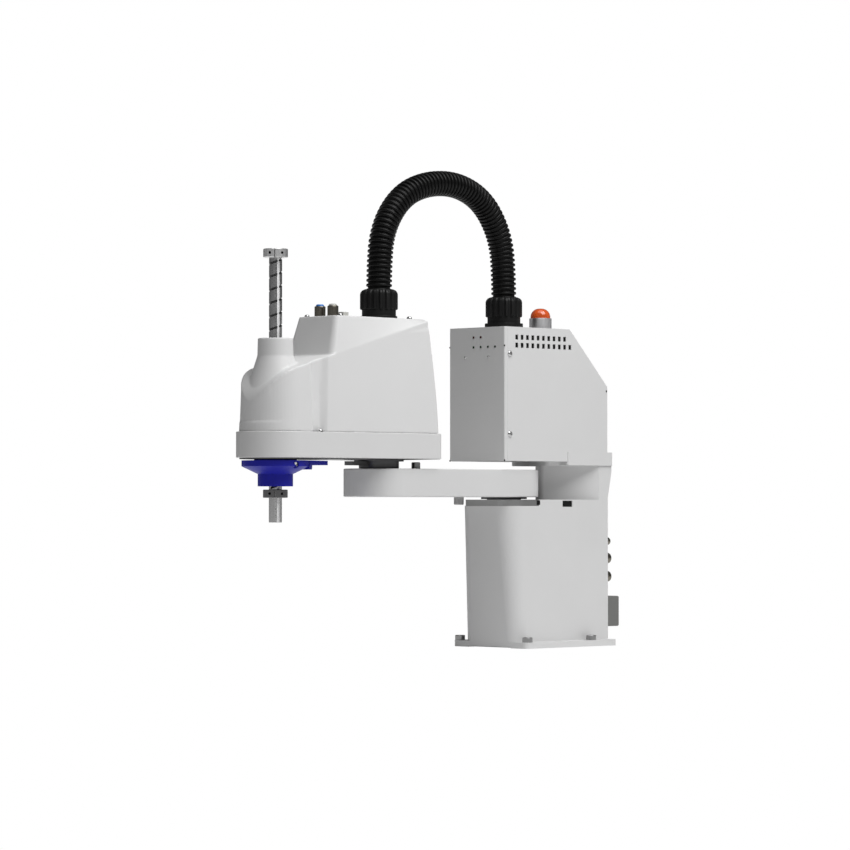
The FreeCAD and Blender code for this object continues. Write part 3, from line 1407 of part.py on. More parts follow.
def belt_plan(sketch, side, big, small):
    xa, ya, xb, yb = joint_four, ZERO, motor_x, d.motor_y * side
    dx, dy = xb.number - xa.number, yb.number
    span = math.hypot(dx, dy)
    heading = math.atan2(dy, dx)
    spread = math.acos((big.number - small.number) / span)
    first = sketch.GeometryCount
    a = [V(xa.number + big.number * math.cos(heading + k * spread), big.number * math.sin(heading + k * spread), 0)
         for k in (-1, 1)]
    b = [V(xb.number + small.number * math.cos(heading + k * spread),
           yb.number + small.number * math.sin(heading + k * spread), 0) for k in (-1, 1)]
    small_ring = Part.Circle(V(xb.number, yb.number, 0), Z_AXIS, small.number)
    big_ring = Part.Circle(V(xa.number, 0, 0), Z_AXIS, big.number)
    sketch.addGeometry(Part.LineSegment(a[0], b[0]), False)
    sketch.addGeometry(Part.ArcOfCircle(small_ring, heading - spread, heading + spread), False)
    sketch.addGeometry(Part.LineSegment(b[1], a[1]), False)
    sketch.addGeometry(Part.ArcOfCircle(big_ring, heading + spread, heading - spread + 2 * math.pi), False)
    for i in range(4):
        sketch.addConstraint(Sketcher.Constraint("Tangent", first + i, 2, first + (i + 1) % 4, 1))
    for index, radius, x, y in ((1, small, xb, yb), (3, big, xa, ya)):
        hold(sketch, first + index, 3, x, y)
        rule = sketch.addConstraint(Sketcher.Constraint("Radius", first + index, radius.number))
        sketch.setExpression("Constraints[%d]" % rule, radius.rule)


def bridge():
    """Plate over the arm floor that carries the lift nut's bearing and both small motors."""
    body = new_body("bridge_body")
    plan = new_sketch(body, "bridge_plan", offset=d.bridge_low)
    arm_outline(plan, joint_four - d.bridge_long, d.bridge_half, joint_four, d.bridge_nose)
    pad(body, plan, d.bridge_thick)
    ring = circle(new_sketch(body, "bridge_ring", offset=d.bridge_low), d.bearing_radius + d.rim_wall, joint_four)
    pad(body, ring, d.lift_bearing_high - d.bridge_low)
    bore = circle(new_sketch(body, "bridge_bore", offset=d.bridge_low - 1), d.bearing_radius + d.seat_gap, joint_four)
    pocket(body, bore, d.lift_bearing_high - d.bridge_low + 2, upward=True)
    hole = circle(new_sketch(body, "bridge_hole", offset=d.bridge_low), d.motor_pulley + d.pulley_lip + 1, motor_x,
                  d.motor_y)
    pocket(body, hole, d.bridge_thick, upward=True)
    posts = [body]
    behind = joint_four - d.post_back
    ahead = joint_four + d.post_front
    for i, (x, side) in enumerate(((behind, 1), (behind, -1), (ahead, 1), (ahead, -1))):
        y = d.post_y if i < 2 else d.post_front_y
        posts.append(rod("post_%d" % i, d.post_radius, d.rim_low + d.rim_floor, d.bridge_low, x, y * side))
    keep(fuse("bridge", posts), "motor_bridge")
    riser = new_body("riser_body")
    top = new_sketch(riser, "riser_plan", offset=d.riser_low)
    rectangle(top, motor_x - d.motor_half, motor_x + d.motor_half, -d.motor_y - d.motor_half,
              d.motor_half - d.motor_y)
    pad(riser, top, d.riser_thick)
    walls = new_sketch(riser, "riser_walls", offset=d.bridge_low + d.bridge_thick)
    rectangle(walls, motor_x - d.motor_half, motor_x - d.motor_half + d.riser_thick, -d.motor_y - d.motor_half,
              d.motor_half - d.motor_y)
    pad(riser, walls, d.riser_low - d.bridge_low - d.bridge_thick)
    bore = circle(new_sketch(riser, "riser_bore", offset=d.riser_low), d.motor_shaft + 1, motor_x, -d.motor_y)
    pocket(riser, bore, d.riser_thick, upward=True)
    keep(riser, "lift_motor_riser")


def small_motors():
    lift_base = d.riser_low + d.riser_thick
    motor("spin_motor", motor_x, d.motor_y, d.bridge_low + d.bridge_thick, d.motor_half - d.free_gap,
          d.motor_long, d.motor_round, "spin_motor")
    motor("lift_motor", motor_x, -d.motor_y, lift_base, d.motor_half - d.free_gap, d.motor_long - 10,
          d.motor_round, "lift_motor")


# Cap, shaft and stops
def blue_cap():
    cone = turned_shape("cap_cone", [(d.cap_bore, d.cap_low), (d.cap_nose, d.cap_low), (d.cap_nose, d.cap_waist),
                                     (d.cap_radius, d.cap_flange), (d.cap_radius, d.cap_high),
                                     (d.cap_spigot, d.cap_high), (d.cap_spigot, d.bearing_low - d.seat_gap),
                                     (d.cap_bore, d.bearing_low - d.seat_gap)], joint_four)
    body = new_body("cap_ear")
    plan = new_sketch(body, "cap_ear_plan", offset=d.cap_ear_low)
    root = joint_four - d.cap_spigot
    for reach, low, high in ((d.cap_ear_long, d.cap_ear_low, d.cap_high),
                             (d.cap_rib_long, d.cap_rib_low, d.cap_ear_low)):
        if reach is d.cap_rib_long:
            plan = new_sketch(body, "cap_rib_plan", offset=low)
        end = joint_four - reach
        polygon(plan, [(end, -d.cap_ear_half), (root, -d.cap_radius * 0.8), (root, d.cap_radius * 0.8),
                       (end, d.cap_ear_half)])
        pad(body, plan, high - low)
    end = joint_four - d.cap_rib_long
    soften(body, d.cap_rib_bevel, lambda e: lies(e, x=end, z=d.cap_rib_low), "Chamfer")
    screws = []
    pits = []
    for i in range(3):
        angle = math.radians(d.cap_screw_turn.number + 120 * i)
        x = joint_four + d.cap_screw_at * math.cos(angle)
        y = d.cap_screw_at * math.sin(angle)
        seat = d.cap_flange + d.cap_pit_deep
        screws.append(rod("cap_bolt_%d" % i, d.cap_screw, d.cap_flange, seat, x, y))
        pits.append(rod("cap_pit_%d" % i, d.cap_screw + d.cap_pit, d.cap_low, seat, x, y))
    keep(cut("cap_bored", fuse("cap", [cone, body]), fuse("cap_pits", pits)), "spline_cap")
    keep(group("cap_bolts", screws), "spline_cap_screws")


def shaft():
    body = new_body("shaft_body")
    section = new_sketch(body, "shaft_section", "XZ_Plane")
    neck = d.shaft_radius - d.undercut_deep
    high = lower_low - d.undercut_drop
    low = high - d.undercut_tall
    polygon(section, [(d.shaft_bore, d.shaft_low), (d.shaft_radius, d.shaft_low), (d.shaft_radius, low),
                      (neck, low), (neck, high), (d.shaft_radius, high), (d.shaft_radius, d.shaft_top),
                      (d.shaft_bore, d.shaft_top)])
    revolve(body, section)
    soften(body, d.pin_chamfer / 2, lambda e: lies(e, z=d.shaft_low)
           and e.BoundBox.XLength > 1.9 * d.shaft_radius.number, "Chamfer")
    spline_low = lower_high + d.spline_clear
    groove = new_sketch(body, "spline_groove", offset=spline_low)
    circle(groove, d.spline_radius, d.shaft_radius + d.spline_radius - d.spline_deep)
    valley = pocket(body, groove, d.shaft_top - spline_low, upward=True)
    ring = body.newObject("PartDesign::PolarPattern", "spline_grooves")
    ring.Originals = [valley]
    ring.Axis = (groove, ["N_Axis"])
    ring.Angle = 360
    bind(ring, Occurrences=d.spline_count)
    body.Tip = ring
    doc.recompute()
    move(body, joint_four)
    keep(body, "spline_shaft")
    for name, low, high in (("upper_stop", upper_high - d.upper_stop_tall, upper_high),
                            ("lower_stop", lower_low, lower_high)):
        collar = new_body(name)
        plan = new_sketch(collar, name + "_section", "XZ_Plane")
        polygon(plan, [(d.shaft_radius + d.seat_gap, low), (d.stop_radius, low), (d.stop_radius, high),
                       (d.shaft_radius + d.seat_gap, high)])
        revolve(collar, plan)
        soften(collar, d.pin_chamfer, lambda e: e.BoundBox.XLength > 1.9 * d.stop_radius.number
               and (lies(e, z=low) or lies(e, z=high)), "Chamfer")
        slit = new_sketch(collar, name + "_slit", offset=low)
        rectangle(slit, d.shaft_bore, d.stop_radius + 1, -d.slit / 2, d.slit / 2)
        pocket(collar, slit, high - low, upward=True)
        move(collar, joint_four)
        keep(collar, name + "_collar")


# Hose
HOSE_ROUTE = [(0, 428), (0, 476), (6, 527), (37, 571), (85, 591), (140, 589), (187, 570), (219, 528), (225, 477),
              (225, 429)]


def hose():
    """Plain tube on the hose's route: straight runs joined by tangent arcs."""
    points = [V(x, 0, z) for x, z in HOSE_ROUTE]
    edges = []
    start = points[0]
    for before, corner, after in zip(points, points[1:], points[2:]):
        back = before - corner
        ahead = after - corner
        turn = math.pi - back.getAngle(ahead)
        reach = 0.45 * min(back.Length, ahead.Length)
        radius = reach / math.tan(turn / 2)
        back.normalize()
        ahead.normalize()
        enter = corner + back * reach
        leave = corner + ahead * reach
        inward = back + ahead
        inward.normalize()
        middle = corner + inward * (math.hypot(radius, reach) - radius)
        edges.append(Part.LineSegment(start, enter).toShape())
        edges.append(Part.Arc(enter, middle, leave).toShape())
        start = leave
    edges.append(Part.LineSegment(start, points[-1]).toShape())
    path = Part.Wire(edges)
    ring = Part.Wire([Part.Circle(points[0], Z_AXIS, d.hose_radius.number).toShape()])
    tube = path.makePipeShell([ring], True, False)
    thing = doc.addObject("Part::Feature", "hose_tube")
    thing.Shape = tube
    keep(thing, "cable_hose")


# Top of the second arm
def top_items():
    fits = []
    for i, (x, y) in enumerate(((port_x, -d.port_half), (port_x, d.port_half))):
        made = fitting("top_fit_%d" % i, d.top_fitting_radius, d.top_fitting_tall, d.tube_big)
        fits.append(move(made, x, y, d.cover_top))
    keep(group("top_fits", fits), "top_air_fittings")
    for name, y in (("blue", -d.port_half), ("white", d.port_half)):
        ring = release_ring("ring_" + name, d.top_fitting_tall, d.tube_big)
        move(ring, port_x, y, d.cover_top)
        keep(ring, "release_ring_" + name)
    plug = user_port("top_port", d.top_plug_tall)
    keep(move(plug, joint_four - d.top_plug_back, ZERO, d.cover_top, Z_AXIS, 90), "top_user_connector")
    heads = []
    front = joint_four - d.top_screw_front
    behind = joint_two - d.top_screw_behind
    for i, (x, y) in enumerate(((front, 1), (front, -1), (behind, 1), (behind, -1))):
        head = round_head("top_screw_%d" % i, d.cap_head, d.cap_head_tall)
        heads.append(move(head, x, d.top_screw_y * y, d.cover_top))
    for i, side in enumerate((1, -1)):
        head = round_head("flute_screw_%d" % i, d.cap_head, d.cap_head_tall)
        heads.append(move(head, flute_x, d.flute_screw_y * side, d.rim_top))
    keep(group("cover_heads", heads), "cover_screws")


for make in (base_casting, rear_panel, rear_fittings, power_inlet, first_drive, controller_chassis):
    make()
side_cover("controller_cover_left", 1)
side_cover("controller_cover_right", -1)
for make in (controller_screws, status_lights, controller_inside, lamp):
    make()
base_connector()
gland("base_gland", d.box_top, ZERO, d.gland_flange, d.gland_flange_tall, d.gland_nut_low)
arm_one()
arm_two_collar()
arm_two_bottom_plate()
arm_two_casting()
arm_two_cover()
gland("arm_gland", d.cover_top, joint_two, d.arm_gland_flange, d.arm_flange_tall, d.arm_nut_low)
second_drive()
bearing("low_bearing", d.bearing_low, d.bearing_high, d.nut_radius, "spline_nut_bearing")
bearing("high_bearing", d.bridge_low, d.lift_bearing_high, d.nut_radius, "ball_screw_bearing")
nuts()
belt("spin_belt_solid", 1, d.spin_pulley_low, d.spin_pulley_high, "spin_belt")
belt("lift_belt_solid", -1, d.lift_pulley_low, d.lift_pulley_high, "lift_belt")
bridge()
small_motors()
blue_cap()
shaft()
hose()
top_items()
doc.recompute()
for thing in doc.Objects:
    if "Invalid" in thing.State or "Error" in thing.State:
        raise ValueError("%s: %s" % (thing.Label, thing.getStatusString()))
for piece in PARTS:
    if piece.Shape.isNull() or not piece.Shape.isValid() or not piece.Shape.Solids:
        raise ValueError("no sound solid: " + piece.Label)
os.makedirs("parts", exist_ok=True)
for piece in PARTS:
    piece.Shape.exportStep("parts/%s.step" % piece.Label)
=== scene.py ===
"""Visual model of a four-axis SCARA robot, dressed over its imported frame.

Metres. The origin is the first arm's axis on the mounting surface, +X runs along the
outstretched arms and +Z is up.
"""
import json
import math

import bpy
from bpy.props import FloatProperty, FloatVectorProperty, IntProperty, PointerProperty
from mathutils import Matrix, Vector


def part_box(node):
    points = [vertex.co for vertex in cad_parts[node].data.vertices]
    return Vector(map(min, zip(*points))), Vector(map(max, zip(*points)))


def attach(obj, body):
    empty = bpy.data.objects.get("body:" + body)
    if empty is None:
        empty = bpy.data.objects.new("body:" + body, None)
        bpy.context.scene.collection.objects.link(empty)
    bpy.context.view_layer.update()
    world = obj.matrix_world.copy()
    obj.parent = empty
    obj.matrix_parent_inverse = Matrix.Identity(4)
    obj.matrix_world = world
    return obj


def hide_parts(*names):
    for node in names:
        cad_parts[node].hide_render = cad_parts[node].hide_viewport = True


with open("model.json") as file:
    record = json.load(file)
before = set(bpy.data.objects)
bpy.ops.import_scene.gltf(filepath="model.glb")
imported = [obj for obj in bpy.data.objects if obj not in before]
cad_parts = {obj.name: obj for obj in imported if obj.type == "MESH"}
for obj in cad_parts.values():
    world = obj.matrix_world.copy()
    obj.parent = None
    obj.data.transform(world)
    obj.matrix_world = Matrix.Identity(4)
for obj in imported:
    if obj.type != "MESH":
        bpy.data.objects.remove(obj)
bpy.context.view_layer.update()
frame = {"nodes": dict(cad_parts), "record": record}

bl_info = {
    "name": "SCARA robot",
    "version": (1, 0, 0),
    "blender": (4, 5, 0),
    "location": "View3D > Sidebar > SCARA robot",
    "description": "Builds the visual pieces of a four-axis SCARA robot over its frame",
    "category": "Object",
}

NODES = frame["nodes"]
BODY_OF = {node: body for body, nodes in frame["record"]["behaviour"]["bodies"].items() for node in nodes}
SLOT_OF = {part["node"]: part["material_slot"] for part in frame["record"]["subparts"]}

# Turn of the view in degrees, and how sharp an edge is before it counts as one
CAMERA_SIDE = 43.73
SHARP_EDGE = 28.0

# Shaft, its grooves and the hose
SHAFT_X, SHAFT_BORE, SHAFT_CHAMFER = 0.400, 0.0055, 0.0004
THREAD_FROM, THREAD_LIFT = 0.200, 0.203
# The straight grooves are turned toward the camera side and hold a pale painted highlight
SPLINE_TURN, SPLINE_RADIUS, SPLINE_OUT = 31.0, 0.0019, 0.0006
HOSE_ROUTE = [(0.0, 0.428), (0.0, 0.476), (0.006, 0.527), (0.037, 0.571), (0.085, 0.591), (0.140, 0.589),
              (0.187, 0.570), (0.219, 0.528), (0.225, 0.477), (0.225, 0.429)]

# Foot plate, deck and the fittings behind the base
FOOT_TOP = 0.008
FOOT_BOLTS = [(-0.1005, -0.060), (-0.1005, 0.060), (0.0195, -0.060), (0.0195, 0.060)]
DECK_LOW, DECK_HIGH, DECK_BACK = 0.1810, 0.1898, -0.0165
REAR_WALL_X, REAR_SHARE = -0.137, 0.8

# Cover: its walls, the slope of its nose, the flutes and the cuts beside it
COVER_WALL, RIM_TOP, SAME = 0.003, 0.2714, 0.0004
WALL_HALF, WALL_TAPER, WALL_LEAN = 0.05419, 0.02548, 0.03492
SLOPE, SLOPE_X, SLOPE_Z = 0.283, 0.342, 0.366
NOSE_TIP = 0.4440
NOSE_BEYOND, NOSE_BESIDE, NOSE_ABOVE = 0.470, 0.060, 0.372
FLUTE_X, FLUTE_Y = 0.368, 0.0665
FLUTE_RADIUS, FLUTE_FLARE = 0.0246, 0.0519
FLUTE_STEP, FLUTE_FLOOR_LOW, FLUTE_FLOOR_HIGH = 0.300, 0.0379, 0.0373
FLANK_IN, FLANK_OUT = 0.0441, 0.060
FLANK = [(0.150, 0.4025), (0.181, 0.4020), (0.189, 0.4000), (0.215, 0.3965), (0.241, 0.3925),
         (0.275, 0.3840), (0.300, 0.3785), (0.300, 0.4200), (0.150, 0.4200)]
NECK = [(0.0350, 0.3230), (0.0219, 0.3633), (0.0214, 0.3849), (0.0182, 0.3849), (0.0182, 0.3633),
        (0.0315, 0.3230), (0.0350, 0.3230)]

# Thin plate under the second arm
PLATE_TOP, PLATE_STEP_X, PLATE_LOW_FRONT, PLATE_LOW_REAR = 0.2390, 0.222, 0.2381, 0.2394

# Screws of the cover, the cap and the controller box
COVER_SCREWS = [(x, y, 0.4140) for x in (0.320, 0.201) for y in (-0.0295, 0.0295)]
FLUTE_SCREWS = [(FLUTE_X, y, RIM_TOP) for y in (-0.045, 0.045)]
CAP_PIT, CAP_HEAD, CAP_TOWARD = (0.4042, 0.0402, 0.2330), (0.4042, 0.0406, 0.2330), (0.1, 1, 0)
BOX_SIDE_SCREW_X, BOX_SIDE_Y, BOX_SIDE_SCREW_Z = 0.0403, 0.0491, (0.2726, 0.3749)
BOX_FRONT_SCREWS = [(0.0500, y, 0.3714) for y in (-0.0205, 0.0205)]

# Thin dark sheets of painted shade behind vents, slots and notches: reach in X, low and high end, distance
# from the middle plane
SHADE_SHEET_THICK = 0.0012
SHADE_SHEETS = [((-0.0769, -0.0582), 0.1799, 0.1886, 0.0464), ((-0.0159, -0.0106), 0.1828, 0.1886, 0.0464),
           ((-0.0770, 0.0290), 0.3835, 0.4045, 0.0464), ((0.0490, 0.0502), 0.3842, 0.3862, 0.0480),
           ((0.0490, 0.0502), 0.2384, 0.2404, 0.0480), ((-0.1435, -0.1412), 0.3298, 0.3322, 0.0480)]


class RobotSizes(bpy.types.PropertyGroup):
    """Sizes of the pieces that are modelled over the frame"""
    hose_crest: FloatProperty(name="Hose crest radius", description="Outer radius of the hose's ribs",
                              default=0.0161, unit="LENGTH")
    hose_root: FloatProperty(name="Hose root radius", description="Radius between the hose's ribs",
                             default=0.0139, unit="LENGTH")
    hose_pitch: FloatProperty(name="Hose pitch", description="Distance from rib to rib",
                              default=0.0060, unit="LENGTH")
    shaft_lead: FloatProperty(name="Screw lead",
                              description="Lift of the shaft's helical groove in one turn",
                              default=0.016, unit="LENGTH")
    groove_radius: FloatProperty(name="Groove radius", description="Radius of the ball grooves in the shaft",
                                 default=0.0014, unit="LENGTH")
    bolt_head: FloatProperty(name="Bolt head radius", description="Radius of the foot's socket heads",
                             default=0.0065, unit="LENGTH")
    bolt_tall: FloatProperty(name="Bolt head height", description="Height of the foot's socket heads",
                             default=0.0064, unit="LENGTH")
    edge: FloatProperty(name="Edge rounding", description="Rounding of the castings' sharp edges",
                        default=0.0007, unit="LENGTH")
    mould_grain: FloatProperty(name="Mould grain", description="Size of the moulded cover's mesh",
                               default=0.0011, unit="LENGTH")
    nose_round: FloatProperty(name="Nose rounding",
                              description="Radius of the cover's nose seen from the side",
                              default=0.060, unit="LENGTH")
    flute_deep: FloatProperty(name="Flute depth", description="Depth of the two screw flutes",
                              default=0.0062, unit="LENGTH")
    nut_rib: FloatProperty(name="Nut rib depth",
                           description="Depth of the grooves between a gland nut's ribs",
                           default=0.0024, unit="LENGTH")
    sides: IntProperty(name="Sides", description="Sides of the turned pieces", default=48, min=12)


class RobotColours(bpy.types.PropertyGroup):
    """Colours of the finishes"""
    paint: FloatVectorProperty(name="Paint", description="Pale paint of castings and sheet",
                                subtype="COLOR", size=3, default=(0.70, 0.70, 0.70))
    cover: FloatVectorProperty(name="Cover", description="Pale plastic of the second arm's cover",
                                subtype="COLOR", size=3, default=(0.72, 0.72, 0.72))
    cap: FloatVectorProperty(name="Cap", description="Blue plastic of the cap round the shaft",
                              subtype="COLOR", size=3, default=(0.018, 0.020, 0.36))
    hose: FloatVectorProperty(name="Hose", description="Black plastic of hose and glands",
                               subtype="COLOR", size=3, default=(0.0045, 0.0045, 0.0045))
    steel: FloatVectorProperty(name="Steel", description="Ground steel of shaft and stops",
                                subtype="COLOR", size=3, default=(0.52, 0.52, 0.52))
    dome: FloatVectorProperty(name="Lamp dome", description="Orange plastic of the lamp",
                               subtype="COLOR", size=3, default=(0.90, 0.13, 0.02))


class RobotStage(bpy.types.PropertyGroup):
    """Camera, floor and lights"""
    camera_place: FloatVectorProperty(name="Camera place", description="Where the camera stands",
                                      subtype="XYZ", size=3, default=(3.3932, 3.2461, 0.1844),
                                      unit="LENGTH")
    lens: FloatProperty(name="Lens", description="Focal length on a sensor 36 mm wide",
                        default=154.41, min=20)
    yaw: FloatProperty(name="Yaw", description="Turn of the view to its left", default=math.radians(1.241),
                       subtype="ANGLE")
    pitch: FloatProperty(name="Pitch", description="Tilt of the view upwards", default=math.radians(1.235),
                         subtype="ANGLE")
    heading: FloatProperty(name="Heading", description="Direction of the camera seen from the robot",
                           default=math.radians(CAMERA_SIDE), subtype="ANGLE")
    key: FloatProperty(name="Key light", description="Power of the large light", default=60.0, unit="POWER")
    top: FloatProperty(name="Top light", description="Power of the light overhead",
                       default=14.0, unit="POWER")
    sky: FloatProperty(name="Sky", description="Strength of the surroundings on the robot", default=0.14)


# Helpers for meshes
def deselect():
    if bpy.context.mode != "OBJECT":
        bpy.ops.object.mode_set(mode="OBJECT")
    bpy.ops.object.select_all(action="DESELECT")


def pick(piece):
    deselect()
    piece.select_set(True)
    bpy.context.view_layer.objects.active = piece


def named(name):
    piece = bpy.context.active_object
    piece.name = name
    piece.data.name = name
    return piece


def settle(piece):
    """Put the piece's place into its mesh."""
    pick(piece)
    bpy.ops.object.transform_apply(location=True, rotation=True, scale=True)


def smooth(piece, angle):
    pick(piece)
    bpy.ops.object.shade_smooth_by_angle(angle=math.radians(angle), keep_sharp_edges=False)


def apply(piece, kind, name, **values):
    """Add one modifier to the piece and apply it."""
    pick(piece)
    modifier = piece.modifiers.new(name, kind)
    for key, value in values.items():
        setattr(modifier, key, value)
    bpy.ops.object.modifier_apply(modifier=modifier.name)


def carve(piece, tool, name, **values):
    """Cut the tool out of the piece and drop the tool."""
    apply(piece, "BOOLEAN", name, operation="DIFFERENCE", object=tool, solver="EXACT", **values)
    bpy.data.objects.remove(tool)


def new_object(name, data):
    made = bpy.data.objects.new(name, data)
    bpy.context.scene.collection.objects.link(made)
    return made


def weigh(piece):
    """Let the large faces decide how the light runs over the piece."""
    apply(piece, "WEIGHTED_NORMAL", "weights", keep_sharp=True, weight=90, mode="FACE_AREA_WITH_ANGLE")


def aim(piece, place, toward):
    """Turn a piece built along +Z to a direction and put it in its place."""
    turn = Vector(toward).to_track_quat("Z", "Y").to_matrix().to_4x4()
    piece.data.transform(Matrix.Translation(place) @ turn)


def outward(piece):
    pick(piece)
    bpy.ops.object.mode_set(mode="EDIT")
    bpy.ops.mesh.select_all(action="SELECT")
    bpy.ops.mesh.remove_doubles(threshold=1e-6)
    bpy.ops.mesh.normals_make_consistent(inside=False)
    bpy.ops.object.mode_set(mode="OBJECT")


def join(pieces, name):
    deselect()
    for piece in pieces:
        piece.select_set(True)
    bpy.context.view_layer.objects.active = pieces[0]
    bpy.ops.object.join()
    return named(name)


def finish_piece(piece, body, slot, material, *nodes):
    """Give a piece its material, its body and the nodes that it stands for."""
    if material is not None:
        piece.data.materials.clear()
        piece.data.materials.append(material)
    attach(piece, body)
    if nodes:
        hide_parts(*nodes)
    return piece


def stack(name, x, y, rings, sides, closed=True):
    """Turned piece: a circle extruded from ring to ring, each with its radius and height."""
    radius, height = rings[0]
    bpy.ops.mesh.primitive_circle_add(vertices=sides, radius=radius, fill_type="NOTHING",
                                      location=(0, 0, height))
    piece = named(name)
    settle(piece)
    bpy.ops.object.mode_set(mode="EDIT")
    bpy.ops.mesh.select_all(action="SELECT")
    if closed:
        bpy.ops.mesh.edge_face_add()
        bpy.ops.mesh.select_all(action="SELECT")
    extrude = bpy.ops.mesh.extrude_region_move if closed else bpy.ops.mesh.extrude_edges_move
    for wide, high in rings[1:]:
        extrude(TRANSFORM_OT_translate={"value": (0, 0, high - height)})
        grow = wide / radius
        bpy.ops.transform.resize(value=(grow, grow, 1.0), center_override=(0, 0, high))
        radius, height = wide, high
    bpy.ops.object.mode_set(mode="OBJECT")
    outward(piece)
    piece.data.transform(Matrix.Translation((x, y, 0)))
    return piece


def block(name, low, high):
    """Box between two corners."""
    middle = [(a + b) / 2 for a, b in zip(low, high)]
    bpy.ops.mesh.primitive_cube_add(size=1.0, location=middle)
    piece = named(name)
    piece.scale = [b - a for a, b in zip(low, high)]
    settle(piece)
    return piece


def prism(name, outline, reach):
    """Outline in X and Z drawn out along Y."""
    bpy.ops.mesh.primitive_circle_add(vertices=len(outline), radius=1.0, fill_type="NGON")
    piece = named(name)
    for vertex, (x, z) in zip(piece.data.vertices, outline):
        vertex.co = (x, reach[0], z)
    bpy.ops.object.mode_set(mode="EDIT")
    bpy.ops.mesh.select_all(action="SELECT")
    bpy.ops.mesh.extrude_region_move(TRANSFORM_OT_translate={"value": (0, reach[1] - reach[0], 0)})
    bpy.ops.object.mode_set(mode="OBJECT")
    outward(piece)
    return piece


def round_screw(name, place, toward, radius, tall):
    """Domed screw head with its recess."""
    rings = [(radius * 0.6, -tall * 0.2), (radius, 0.0), (radius * 0.97, tall * 0.4),
             (radius * 0.80, tall * 0.75), (radius * 0.52, tall), (radius * 0.36, tall),
             (radius * 0.30, tall * 0.4)]
    head = stack(name, 0.0, 0.0, rings, sides=24)
    aim(head, place, toward)
    smooth(head, 40.0)
    return head


# Helpers for materials
def new_material(name):
    material = bpy.data.materials.new(name)
    material.use_nodes = True
    tree = material.node_tree
    return material, tree, tree.nodes["Principled BSDF"]


def node(tree, kind, **values):
    made = tree.nodes.new(kind)
    for key, value in values.items():
        setattr(made, key, value)
    return made


def object_place(tree, scale=(1.0, 1.0, 1.0)):
    """Object coordinates, stretched by the scale."""
    coordinates = node(tree, "ShaderNodeTexCoord")
    mapping = node(tree, "ShaderNodeMapping")
    mapping.inputs["Scale"].default_value = scale
    tree.links.new(coordinates.outputs["Object"], mapping.inputs["Vector"])
    return mapping.outputs["Vector"]


def noise(tree, place, scale, detail=3.0, rough=0.55):
    made = node(tree, "ShaderNodeTexNoise")
    made.inputs["Scale"].default_value = scale
    made.inputs["Detail"].default_value = detail
    made.inputs["Roughness"].default_value = rough
    tree.links.new(place, made.inputs["Vector"])
    return made.outputs["Fac"]


def ramp(tree, factor, stops):
    """Colour ramp with (position, colour) stops."""
    made = node(tree, "ShaderNodeValToRGB")
    band = made.color_ramp
    band.elements[0].position = stops[0][0]
    band.elements[0].color = (*stops[0][1], 1.0)
    band.elements[1].position = stops[-1][0]
    band.elements[1].color = (*stops[-1][1], 1.0)
    for position, colour in stops[1:-1]:
        element = band.elements.new(position)
        element.color = (*colour, 1.0)
    tree.links.new(factor, made.inputs["Fac"])
    return made.outputs["Color"]


def spread(tree, factor, low, high):
    """Map a 0 to 1 value to a range."""
    made = node(tree, "ShaderNodeMapRange")
    made.inputs["To Min"].default_value = low
    made.inputs["To Max"].default_value = high
    tree.links.new(factor, made.inputs["Value"])
    return made.outputs["Result"]


def bump(tree, shader, height, strength, distance):
    """Let the height tilt the shader's surface."""
    made = node(tree, "ShaderNodeBump")
    made.inputs["Strength"].default_value = strength
    made.inputs["Distance"].default_value = distance
    tree.links.new(height, made.inputs["Height"])
    tree.links.new(made.outputs["Normal"], shader.inputs["Normal"])


def shade(colour, factor):
    return tuple(min(1.0, channel * factor) for channel in colour)


def coated(name, colour, rough, grain_scale, grain_depth, vary=0.03, coat=0.0, shine=0.5):
    """Paint or plastic: faint cloudiness, uneven gloss and a fine grain."""
    material, tree, shader = new_material(name)
    place = object_place(tree)
    cloud = noise(tree, place, 14.0, 4.0)
    tree.links.new(ramp(tree, cloud, [(0.30, shade(colour, 1.0 - vary)), (0.70, shade(colour, 1.0 + vary))]),
                   shader.inputs["Base Color"])
    gloss = spread(tree, noise(tree, place, 60.0), rough - 0.05, rough + 0.05)
    tree.links.new(gloss, shader.inputs["Roughness"])
    bump(tree, shader, noise(tree, place, grain_scale, 2.0), 0.35, grain_depth)
    shader.inputs["Coat Weight"].default_value = coat
    shader.inputs["Specular IOR Level"].default_value = shine
    return material


def metal(name, colour, rough, stretch, vary=0.10, depth=0.00002):
    """Machined metal: fine marks drawn out along one axis."""
    material, tree, shader = new_material(name)
    place = object_place(tree, stretch)
    marks = noise(tree, place, 900.0, 3.0)
    tree.links.new(ramp(tree, marks, [(0.25, shade(colour, 1.0 - vary)), (0.75, shade(colour, 1.0 + vary))]),
                   shader.inputs["Base Color"])
    shader.inputs["Metallic"].default_value = 1.0
    tree.links.new(spread(tree, marks, rough - 0.06, rough + 0.08), shader.inputs["Roughness"])
    bump(tree, shader, marks, 0.3, depth)
    return material


def glowing(name, colour, strength):
    """Small light behind tinted plastic."""
    material, tree, shader = new_material(name)
    place = object_place(tree)
    tree.links.new(ramp(tree, noise(tree, place, 700.0), [(0.2, shade(colour, 0.8)), (0.8, colour)]),
                   shader.inputs["Base Color"])
    shader.inputs["Roughness"].default_value = 0.25
    shader.inputs["Emission Color"].default_value = (*colour, 1.0)
    shader.inputs["Emission Strength"].default_value = strength
    return material


def lens_plastic(name, colour):
    """Translucent moulded dome with faint ribs inside."""
    material, tree, shader = new_material(name)
    place = object_place(tree)
    flow = noise(tree, place, 160.0, 3.0)
    stops = [(0.35, shade(colour, 0.78)), (0.62, colour), (0.85, shade(colour, 1.5))]
    tree.links.new(ramp(tree, flow, stops), shader.inputs["Base Color"])
    shader.inputs["Roughness"].default_value = 0.16
    shader.inputs["Transmission Weight"].default_value = 0.25
    shader.inputs["Coat Weight"].default_value = 0.5
    bump(tree, shader, flow, 0.2, 0.0004)
    return material


FINISHES = {}


